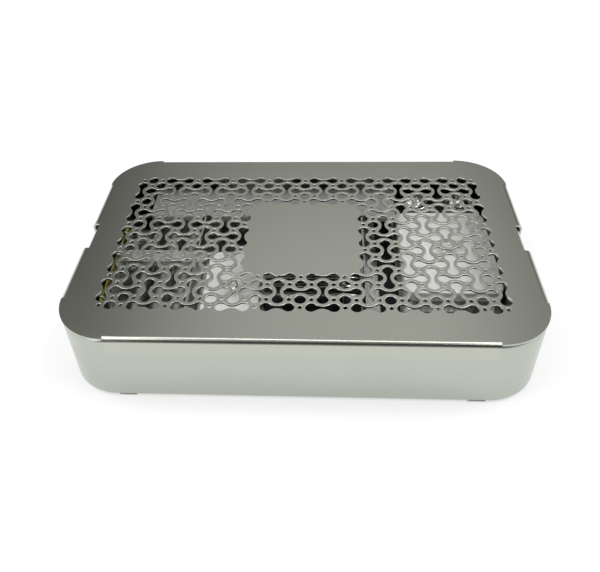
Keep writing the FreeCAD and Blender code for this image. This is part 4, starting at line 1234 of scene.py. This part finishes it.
@dataclass
class SoftenedPiece:
    """A sheet or moulded piece with the form of its solid and small rounded edges.

    Attributes:
        node: The solid that it stands for.
        body: The body that it rides on.
        slot: The record's material slot; not used.
        softness: Width of the rounded edges in millimetres.
        segments: Faces across a rounded edge.
        weld_gap: How near points have to lie to be joined, in millimetres.
        flatness: The angle in degrees up to which neighbouring faces count as one.
        sharpness: The angle in degrees above which an edge is rounded.
        crease: The angle in degrees above which an edge stays sharp.
    """

    node: str
    body: str
    slot: str
    softness: float
    segments: int = 2
    weld_gap: float = 0.002
    flatness: float = 0.6
    sharpness: float = 40.0
    crease: float = 28.0

    def build(self, material: bpy.types.Material) -> bpy.types.Object:
        """Make the piece.

        Args:
            material: Its finish.

        Returns:
            The piece.
        """
        mesh = frame["nodes"][self.node].data.copy()
        mesh.name = f"{self.node}_softened"
        mesh.materials.clear()
        work = bmesh.new()
        work.from_mesh(mesh)
        weld(work, self.weld_gap * MILLIMETRE)
        bmesh.ops.dissolve_limit(
            work, angle_limit=math.radians(self.flatness), verts=work.verts, edges=work.edges,
            use_dissolve_boundaries=False,
        )
        least = math.radians(self.sharpness)
        sharp = [edge for edge in work.edges if edge.is_manifold and edge.calc_face_angle(0.0) > least]
        bmesh.ops.bevel(
            work, geom=sharp, offset=self.softness * MILLIMETRE, offset_type="OFFSET",
            segments=self.segments, profile=0.5, affect="EDGES", clamp_overlap=True,
        )
        work.to_mesh(mesh)
        work.free()
        piece = finished(mesh, f"{self.node}_dressed", (material,), self.crease)
        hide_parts(self.node)
        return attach(piece, self.body)


# Turned pieces

@dataclass
class TurnedPiece:
    """A lathe-turned piece.

    Attributes:
        name: Its name.
        node: The solid that it stands for.
        body: The body that it rides on.
        slot: The record's material slot; not used.
        profile: Pairs of radius and height along the axis, in millimetres.
        place: The axis.
        steps: Straight steps round the axis.
        crease: The angle in degrees above which an edge stays sharp.
    """

    name: str
    node: str
    body: str
    slot: str
    profile: Sequence[Point2]
    place: Place
    steps: int = 40
    crease: float = 35.0

    def build(self, material: bpy.types.Material) -> bpy.types.Object:
        """Make the piece.

        Args:
            material: Its finish.

        Returns:
            The piece.
        """
        shell = Shell()
        lathe(shell, self.profile, self.place, self.steps)
        piece = shell.to_object(self.name, (material,), self.crease)
        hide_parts(self.node)
        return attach(piece, self.body)


@dataclass
class HandInstrument:
    """A slim hand instrument with a cross-knurled grip, lying from front to rear.

    Attributes:
        name: Which of the three it is.
        x: Its axis's place along the container.
        z: Its axis's height.
        butt: The plain end of the grip, as places along the axis with their radius.
        shank: The same from the knurling to the tip.
        grip_radius: The knurled part's radius.
        knurl_start: Where the knurling starts.
        knurl_end: Where it ends.
        knurl_depth: Depth of its grooves.
        knurl_count: Grooves of each set round the grip.
        knurl_lead: How far a groove runs along the grip before it lies where the next one began.
        row: Distance between the rows of points along the knurling.
        steps: Straight steps round the axis.
        crease: The angle in degrees above which an edge stays sharp.
    """

    name: str
    x: float
    z: float = 20.0
    butt: Sequence[Point2] = (
        (-52.0, 2.9), (-51.8, 3.3), (-51.4, 3.5), (-48.6, 3.5), (-48.3, 3.15), (-47.5, 3.15), (-47.2, 3.45),
    )
    shank: Sequence[Point2] = (
        (40.4, 3.45), (40.7, 3.15), (41.5, 3.15), (41.8, 3.5), (46.0, 3.5), (49.0, 2.8), (52.5, 1.85),
        (54.0, 1.7), (64.5, 0.9), (65.0, 0.45),
    )
    grip_radius: float = 3.5
    knurl_start: float = -47.0
    knurl_end: float = 40.0
    knurl_depth: float = 0.28
    knurl_count: int = 12
    knurl_lead: float = 1.9
    row: float = 0.475
    steps: int = 48
    crease: float = 50.0

    def knurled(self, angle: float, along: float) -> float:
        """The grip's radius at a point: two sets of helical grooves that cross as diamonds."""
        turn = self.knurl_count * angle / FULL_TURN
        travel = along / self.knurl_lead
        grooves = [abs(2 * ((turn + sign * travel) % 1.0) - 1) for sign in (-1, 1)]
        return self.grip_radius - self.knurl_depth * max(groove ** 3 for groove in grooves)

    def rows(self) -> list[tuple[float, float | None]]:
        """Places along the axis with their radius, which is None where the grip is knurled."""
        count = round((self.knurl_end - self.knurl_start) / self.row)
        knurling = [(self.knurl_start + number * self.row, None) for number in range(count + 1)]
        return [*self.butt, *knurling, *self.shank]

    def build(self, palette: Palette) -> bpy.types.Object:
        """Make the instrument.

        Args:
            palette: The finishes.

        Returns:
            The piece.
        """
        shell = Shell()
        place = lying_across(self.x, self.z)
        angles = [FULL_TURN * number / self.steps for number in range(self.steps)]
        rings = []
        for along, plain in self.rows():
            radii = [self.knurled(angle, along) if plain is None else plain for angle in angles]
            rings.append(shell.ring(place(radius, angle, along) for radius, angle in zip(radii, angles)))
        shell.stack(rings)
        piece = shell.to_object(f"instrument_{self.name}_knurled", (palette.instrument,), self.crease)
        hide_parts(f"hand_instrument_{self.name}")
        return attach(piece, "insert")


@dataclass
class FlutedKnob:
    """A cover's knob: a slim stem and a head with a fluted rim.

    Attributes:
        side: Which cover it is on.
        middle: Its axis.
        base: Height of the cover's upper face.
        stem: Pairs of radius and height above the cover, up to the head's underside.
        rim: The same up the fluted rim.
        crown: The same over the head's top.
        flutes: Flutes round the rim.
        flute_depth: Their depth.
        flute_steps: Straight steps across a flute.
        crease: The angle in degrees above which an edge stays sharp.
    """

    side: str
    middle: Point2
    base: float = 25.0
    stem: Sequence[Point2] = ((2.7, 0.0), (2.3, 0.4), (2.2, 0.9), (2.2, 2.5), (2.5, 2.8), (3.7, 2.8))
    rim: Sequence[Point2] = ((4.1, 3.1), (4.2, 3.3), (4.2, 4.6))
    crown: Sequence[Point2] = ((3.9, 4.95), (3.4, 5.15), (2.1, 5.2), (POINT_RADIUS, 5.2))
    flutes: int = 24
    flute_depth: float = 0.22
    flute_steps: int = 4
    crease: float = 35.0

    def build(self, palette: Palette) -> bpy.types.Object:
        """Make the knob.

        Args:
            palette: The finishes.

        Returns:
            The piece.
        """
        shell = Shell()
        steps = self.flutes * self.flute_steps
        rings = []
        for line, depth in ((self.stem, 0.0), (self.rim, self.flute_depth), (self.crown, 0.0)):
            for radius, height in line:
                place = (radius, depth, self.base + height)
                rings.append(shell.ring(self.rim_point(*place, number / steps) for number in range(steps)))
        shell.stack(rings)
        piece = shell.to_object(f"knob_{self.side}_fluted", (palette.polished,), self.crease)
        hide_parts(f"cover_knob_{self.side}")
        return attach(piece, f"cover_{self.side}")

    def rim_point(self, radius: float, depth: float, height: float, turn: float) -> Point3:
        """A point of the knob's surface, with the flutes cut in.

        Args:
            radius: The radius between the flutes.
            depth: The flutes' depth.
            height: The height.
            turn: The share of a full turn.

        Returns:
            The point.
        """
        angle = FULL_TURN * turn
        reach = radius - depth * (0.5 - 0.5 * math.cos(angle * self.flutes))
        return self.middle[0] + reach * math.cos(angle), self.middle[1] + reach * math.sin(angle), height


# The insert

@dataclass
class InstrumentInsert:
    """The lift-out tray with everything that it carries.

    Attributes:
        rod_place: The hinge rod's axis, as its place along the container and its height.
        rod_end: One end of the rod, as pairs of radius and distance from its end face.
        collar_end: The same of a collar.
        instrument_x: The places of the three hand instruments' axes along the container.
        cup_x: The places of the two cups' axes along it.
        cup_y: Their place across it.
        cup_rim: Height of their rims.
        cup_profile: Pairs of radius and depth below the rim, from the underside round to the bowl.
        cup_steps: Straight steps round a cup.
        probe_y: The places of the three probes' axes across the container.
        probe_z: Their height.
        probe_profile: Pairs of radius and place along the container.
        probe_steps: Straight steps round a probe.
    """

    rod_place: Point2 = (-105.0, 30.0)
    rod_end: Sequence[Point2] = ((1.6, 0.0), (2.0, 0.4))
    collar_end: Sequence[Point2] = ((3.45, 0.0), (3.8, 0.35), (3.8, 1.1), (3.3, 1.35))
    instrument_x: tuple[float, float, float] = (-89.5, -78.0, -66.5)
    cup_x: Point2 = (67.25, 94.25)
    cup_y: float = 56.7
    cup_rim: float = 25.3
    cup_profile: Sequence[Point2] = (
        (6.4, 12.5), (7.0, 11.9), (7.0, 1.2), (7.9, 1.2), (8.2, 0.9), (8.2, 0.4), (7.8, 0.0), (6.1, 0.0),
        (5.7, 0.3), (5.6, 0.8), (5.6, 5.2), (5.2, 6.6), (4.0, 7.6), (2.0, 7.95), (0.0, 8.0),
    )
    cup_steps: int = 56
    probe_y: tuple[float, float, float] = (-24.0, -17.0, -10.0)
    probe_z: float = 20.8
    probe_profile: Sequence[Point2] = ((1.1, -21.0), (1.5, -20.6), (1.5, 19.6), (0.7, 31.0), (0.3, 31.6))
    probe_steps: int = 20

    def rod(self) -> list[TurnedPiece]:
        """The hinge rod and its two end collars."""
        place = lying_across(*self.rod_place)
        rod = self.mirrored(self.rod_end, "hinge_rod")
        found = [TurnedPiece("hinge_rod_coated", "hinge_rod", "insert", "gold_rod", rod, place)]
        for name in ("front", "rear"):
            collar = self.mirrored(self.collar_end, f"rod_collar_{name}")
            found.append(TurnedPiece(
                f"collar_{name}_turned", f"rod_collar_{name}", "insert", "gold_rod", collar, place,
            ))
        return found

    def mirrored(self, end: Sequence[Point2], node: str) -> list[Point2]:
        """The profile of a turned piece that lies from front to rear and has two equal ends.

        Args:
            end: One end, as pairs of radius and distance from its end face.
            node: The solid that gives the piece its front and rear end.

        Returns:
            Pairs of radius and place along the axis.
        """
        front, rear = (corner.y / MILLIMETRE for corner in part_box(node))
        first = [(radius, front + inset) for radius, inset in end]
        return first + [(radius, rear - inset) for radius, inset in reversed(end)]

    def cups(self) -> list[TurnedPiece]:
        """The two bright cups with rolled rims."""
        profile = [(radius, self.cup_rim - depth) for radius, depth in self.cup_profile]
        found = []
        for side, x in zip(("left", "right"), self.cup_x):
            found.append(TurnedPiece(
                f"cup_{side}_turned", f"cup_{side}", "insert", "polished_steel", profile,
                upright(x, self.cup_y), self.cup_steps,
            ))
        return found

    def probes(self) -> list[TurnedPiece]:
        """The thin probes across the centre rests."""
        found = []
        for number, y in enumerate(self.probe_y, start=1):
            found.append(TurnedPiece(
                f"probe_{number}_turned", f"probe_{number}", "insert", "polished_steel", self.probe_profile,
                lying_along(y, self.probe_z), self.probe_steps,
            ))
        return found

    def softened(self, palette: Palette) -> list[bpy.types.Object]:
        """Make the sheet and moulded pieces, and the rivets.

        Args:
            palette: The finishes.

        Returns:
            The pieces.
        """
        brackets = ("rest_bracket_front", "rest_bracket_rear", "rod_lug")
        sheets = ("insert_tray", "divider_left", "divider_right", *brackets)
        kinds = (
            (sheets, "insert_steel", 0.14, 2, palette.insert),
            (("rivets",), "insert_steel", 0.3, 3, palette.insert),
            (("rest_comb_front", "rest_comb_rear"), "grey_silicone", 0.35, 3, palette.comb),
            (("centre_rest_left", "centre_rest_right"), "black_silicone", 0.4, 3, palette.mat),
            (("cup_holder",), "black_block", 0.5, 3, palette.block),
            (("parts_box_left", "parts_box_right"), "insert_steel", 0.12, 2, palette.box),
        )
        return [
            SoftenedPiece(node, "insert", slot, softness, segments).build(material)
            for nodes, slot, softness, segments, material in kinds for node in nodes
        ]

    def build(self, palette: Palette) -> list[bpy.types.Object]:
        """Make every piece of the insert.

        Args:
            palette: The finishes.

        Returns:
            The pieces.
        """
        pieces = self.softened(palette)
        pieces += [turned.build(palette.gold) for turned in self.rod()]
        pieces += [turned.build(palette.polished) for turned in self.cups() + self.probes()]
        for name, x in zip(("left", "middle", "right"), self.instrument_x):
            pieces.append(HandInstrument(name, x).build(palette))
        pieces.append(RearPlate().build(palette))
        return pieces


@dataclass
class RearPlate:
    """The folded plate that lies on both dividers and covers the rear ends of the load.

    Attributes:
        span: Its left and right end.
        depth: Its front and rear edge.
        top: Height of its upper face.
        sheet: Thickness of the sheet.
        bend: Outer radius of the folds.
        fold_steps: Straight steps across a fold.
        lip: How far the lips hang down.
        lips: Left and right end of each pair of lips, which leave room for the dividers.
        crease: The angle in degrees above which an edge stays sharp.
    """

    span: Point2 = (-93.0, 53.5)
    depth: Point2 = (33.0, 62.0)
    top: float = 30.95
    sheet: float = 0.6
    bend: float = 1.2
    fold_steps: int = 6
    lip: float = 3.4
    lips: tuple[Point2, ...] = ((-92.0, -62.0), (-51.0, 31.0), (42.0, 52.5))
    crease: float = 28.0

    def fold(self, edge: float, inward: int) -> list[Point2]:
        """One fold seen from the side, as depth and height.

        Args:
            edge: Where the lip stands, from front to rear.
            inward: The way to the middle of the plate, 1 to the rear and -1 to the front.

        Returns:
            The points from the flat face to the lower end of the lip.
        """
        centre = (edge + inward * self.bend, self.top - self.bend)
        bent = arc(centre, self.bend, 90.0, 90.0 + inward * 90.0, self.fold_steps)
        return bent + [(edge, self.top - self.lip)]

    def build(self, palette: Palette) -> bpy.types.Object:
        """Make the plate.

        Args:
            palette: The finishes.

        Returns:
            The piece.
        """
        shell = Shell()
        folds = (self.fold(self.depth[0], 1), self.fold(self.depth[1], -1))
        stops = sorted({*self.span, *(x for pair in self.lips for x in pair)})
        edges = [[shell.ring((x, fold[0][0], self.top) for x in stops)] for fold in folds]
        shell.band(edges[0][0], edges[1][0], closed=False)
        for start, end in self.lips:
            for fold in folds:
                rows = [shell.ring(((start, y, z), (end, y, z))) for y, z in fold]
                for first, second in zip(rows, rows[1:]):
                    shell.band(first, second, closed=False)
        face_only = shell.to_mesh("rear_plate_face")
        work = bmesh.new()
        work.from_mesh(face_only)
        bpy.data.meshes.remove(face_only)
        weld(work)
        bmesh.ops.recalc_face_normals(work, faces=work.faces)
        if sum(face.normal.z for face in work.faces) < 0:
            bmesh.ops.reverse_faces(work, faces=work.faces)
        bmesh.ops.solidify(work, geom=list(work.faces), thickness=self.sheet * MILLIMETRE)
        piece = in_order(work).to_object("rear_plate", (palette.plate,), self.crease)
        work.free()
        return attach(piece, "insert")


@dataclass
class RetainingStrap:
    """The sheet strap that swings down over the instruments, with its silicone pad.

    Attributes:
        sheet_softness: Width of the strap's rounded edges.
        pad_softness: Width of the pad's.
        pad_segments: Faces across one of the pad's.
    """

    sheet_softness: float = 0.15
    pad_softness: float = 0.4
    pad_segments: int = 3

    def build(self, palette: Palette) -> list[bpy.types.Object]:
        """Make the strap and its pad.

        Args:
            palette: The finishes.

        Returns:
            The pieces.
        """
        strap = SoftenedPiece("retaining_strap", "strap", "insert_steel", self.sheet_softness)
        pad = SoftenedPiece("strap_pad", "strap", "grey_silicone", self.pad_softness, self.pad_segments)
        return [strap.build(palette.insert), pad.build(palette.comb)]


@dataclass
class BoxCover:
    """A parts box's cover with its knob.

    Attributes:
        side: Which box it closes.
        knob_middle: The knob's axis.
        softness: Width of the cover's rounded edges.
    """

    side: str
    knob_middle: Point2
    softness: float = 0.12

    def build(self, palette: Palette) -> list[bpy.types.Object]:
        """Make the cover and its knob.

        Args:
            palette: The finishes.

        Returns:
            The pieces.
        """
        cover = SoftenedPiece(f"box_cover_{self.side}", f"cover_{self.side}", "cover_steel", self.softness)
        return [cover.build(palette.cover), FlutedKnob(self.side, self.knob_middle).build(palette)]


# The studio

@dataclass
class Camera:
    """The camera at the photograph's viewpoint.

    Attributes:
        place: Its place in metres.
        turn: Its turns about X, Y and Z in degrees.
        lens: Its focal length in millimetres.
        sensor: Its sensor's width in millimetres.
        shift: How far the picture's middle lies off its axis, in sensor widths.
        sight: The nearest and the farthest distance that it sees, in metres.
    """

    place: Point3 = (0.01133, -0.28145, 0.26426)
    turn: Point3 = (49.288, 1.936, 2.933)
    lens: float = 39.421
    sensor: float = 36.0
    shift: Point2 = (0.02747, -0.03540)
    sight: Point2 = (0.01, 20.0)

    def build(self) -> bpy.types.Object:
        """Make the camera and look through it."""
        data = bpy.data.cameras.new("photo_camera")
        data.sensor_width = self.sensor
        data.lens = self.lens
        data.shift_x, data.shift_y = self.shift
        data.clip_start, data.clip_end = self.sight
        camera = bpy.data.objects.new("photo_camera", data)
        camera.location = self.place
        camera.rotation_euler = Euler([math.radians(angle) for angle in self.turn], "XYZ")
        bpy.context.scene.collection.objects.link(camera)
        bpy.context.scene.camera = camera
        return camera


@dataclass(frozen=True)
class SoftBox:
    """An area lamp that points at the container.

    Attributes:
        name: Its name.
        place: Its place in metres.
        size: Its width and height in metres.
        power: Its power in watts.
    """

    name: str
    place: Point3
    size: Point2
    power: float

    def build(self) -> bpy.types.Object:
        """Make the lamp."""
        data = bpy.data.lights.new(self.name, "AREA")
        data.shape = "RECTANGLE"
        data.size, data.size_y = self.size
        data.energy = self.power
        lamp = bpy.data.objects.new(self.name, data)
        lamp.location = self.place
        lamp.rotation_euler = (-Vector(self.place)).to_track_quat("-Z", "Y").to_euler()
        bpy.context.scene.collection.objects.link(lamp)
        return lamp


@dataclass
class Studio:
    """A white floor under a grey sky that is brightest overhead, and soft lamps.

    Attributes:
        floor_half: Half the floor's width in metres.
        floor_drop: How far it lies below the feet in millimetres.
        floor_paint: The floor's colour.
        floor_glow: How far the floor is lifted to white where it is seen, near the container and far off.
        glow_reach: The distances in metres between which that rises.
        rear_sky: Heights as the sine of the elevation, each with the sky's level behind the container.
        front_sky: The same in front of it.
        sideways: Directions from left to right, each with its share of that level.
        even: Heights, each with how far the level is the same from left to right there.
        blend: Half the width of the sky's strip overhead where front and rear blend, as a sine.
        lamps: The soft lamps.
    """

    floor_half: float = 6.0
    floor_drop: float = 0.02
    floor_paint: float = 0.42
    floor_glow: Point2 = (0.54, 1.0)
    glow_reach: Point2 = (0.5, 1.6)
    rear_sky: Sequence[Point2] = (
        (0.0, 1.0), (0.12, 1.0), (0.34, 0.26), (0.48, 0.29), (0.55, 0.47), (0.62, 0.68), (0.72, 0.68),
        (0.84, 0.58), (1.0, 0.5),
    )
    front_sky: Sequence[Point2] = (
        (0.0, 1.0), (0.12, 1.0), (0.28, 0.28), (0.42, 0.25), (0.54, 0.05), (0.84, 0.035), (0.92, 0.25),
        (1.0, 0.5),
    )
    sideways: Sequence[Point2] = (
        (-1.0, 0.8), (-0.65, 0.8), (-0.42, 0.14), (-0.32, 0.24), (-0.22, 0.68), (-0.10, 0.94), (0.10, 1.02),
        (0.18, 1.08), (0.26, 0.70), (0.36, 0.36), (0.65, 0.8), (1.0, 0.8),
    )
    even: Sequence[Point2] = ((0.10, 1.0), (0.34, 0.0), (0.72, 0.0), (0.90, 1.0))
    blend: float = 0.15
    lamps: Sequence[SoftBox] = (
        SoftBox("strip_above", (0.05, 0.22, 1.3), (1.0, 0.24), 2.7),
        SoftBox("lamp_high_left", (-0.9, -0.1, 1.05), (1.1, 1.1), 12.0),
        SoftBox("lamp_high_right", (0.9, -0.1, 1.05), (1.1, 1.1), 12.0),
        SoftBox("lamp_front_left", (-0.9, -0.9, 0.7), (0.6, 0.6), 3.0),
        SoftBox("lamp_right", (1.3, 0.1, 0.8), (0.6, 0.6), 2.0),
    )

    def build_floor(self) -> bpy.types.Object:
        """Make the floor, which is white where it is seen and keeps the container's shadow."""
        shell = Shell()
        half = self.floor_half / MILLIMETRE
        corners = ((-half, -half), (half, -half), (half, half), (-half, half))
        shell.face(shell.ring((*corner, -self.floor_drop) for corner in corners))
        material = bpy.data.materials.new("studio_floor")
        material.use_nodes = True
        board = NodeBoard(material.node_tree)
        paint = board.add("ShaderNodeBsdfDiffuse", {"Color": (*3 * (self.floor_paint,), 1.0)})
        rays = board.add("ShaderNodeLightPath")
        seen = board.calculate("MAXIMUM", rays.outputs["Is Camera Ray"], rays.outputs["Is Glossy Ray"])
        seen = board.calculate("MAXIMUM", seen, rays.outputs["Is Transmission Ray"])
        distance = board.add("ShaderNodeVectorMath", {0: board.place()}, operation="LENGTH").outputs["Value"]
        (near, far), (start, end) = self.floor_glow, self.glow_reach
        rise = board.levels(distance, ((start, near), (end, far)))
        glow = board.add("ShaderNodeEmission", {"Strength": board.calculate("MULTIPLY", seen, rise)})
        total = board.add("ShaderNodeAddShader", {0: paint.outputs[0], 1: glow.outputs[0]})
        board.add("ShaderNodeOutputMaterial", {"Surface": total.outputs[0]})
        floor = shell.to_object("studio_floor", (material,))
        return floor

    def build_sky(self) -> None:
        """Make the world, whose level follows the direction in height, depth and width."""
        world = bpy.data.worlds.new("studio_sky")
        bpy.context.scene.world = world
        world.use_nodes = True
        board = NodeBoard(world.node_tree)
        direction = board.add("ShaderNodeTexCoord").outputs["Generated"]
        parts = board.add("ShaderNodeSeparateXYZ", {0: direction})
        rear = board.levels(parts.outputs["Z"], self.rear_sky)
        front = board.levels(parts.outputs["Z"], self.front_sky)
        behind = board.add("ShaderNodeMapRange", {
            "Value": parts.outputs["Y"], "From Min": -self.blend, "From Max": self.blend,
        }).outputs[0]
        height = board.mixed(behind, front, rear)
        width = board.levels(parts.outputs["X"], self.sideways)
        width = board.mixed(board.levels(parts.outputs["Z"], self.even), width, 1.0)
        level = board.calculate("MULTIPLY", height, width)
        background = board.add("ShaderNodeBackground", {"Color": (1.0, 1.0, 1.0, 1.0), "Strength": level})
        board.add("ShaderNodeOutputWorld", {"Surface": background.outputs[0]})

    def build(self) -> None:
        """Make the floor, the sky and the lamps."""
        bpy.context.scene.view_settings.view_transform = "Standard"
        self.build_floor()
        self.build_sky()
        for lamp in self.lamps:
            lamp.build()


@dataclass
class SterilizationContainer:
    """The whole container: base, insert, strap, covers and lid.

    Attributes:
        palette: The finishes.
        feet: The four feet's solids.
        foot_softness: Width of their rounded edges.
        knob_middles: The axes of the left and of the right cover's knob.
    """

    palette: Palette
    feet: Sequence[str] = ("foot_front_left", "foot_front_right", "foot_rear_left", "foot_rear_right")
    foot_softness: float = 0.15
    knob_middles: Sequence[Point2] = ((-38.0, -26.0), (80.75, 10.0))

    def build_base(self) -> list[bpy.types.Object]:
        """The tub, its mat and its feet, which have the form of their solids and the tub's finish."""
        pieces = [BaseTub().build(self.palette), FloorMat().build(self.palette)]
        for node in self.feet:
            foot = SoftenedPiece(node, "base", "base_steel", self.foot_softness)
            pieces.append(foot.build(self.palette.base))
        return pieces

    def build(self) -> list[bpy.types.Object]:
        """Make every piece and report it.

        Returns:
            The pieces.
        """
        pieces = self.build_base()
        pieces += InstrumentInsert().build(self.palette)
        pieces += RetainingStrap().build(self.palette)
        for side, middle in zip(("left", "right"), self.knob_middles):
            pieces += BoxCover(side, middle).build(self.palette)
        pieces.append(LidSheet().build(self.palette))
        for piece in pieces:
            log.info("%s rides on %s, %d faces", piece.name, piece["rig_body"], len(piece.data.polygons))
        return pieces


def main() -> None:
    """Build the camera, the studio and the container, and report each piece."""
    logging.basicConfig(level=logging.INFO, format="%(name)s: %(message)s")
    Camera().build()
    Studio().build()
    pieces = SterilizationContainer(Palette()).build()
    log.info("%d pieces in all", len(pieces))


if __name__ == "__main__":
    main()
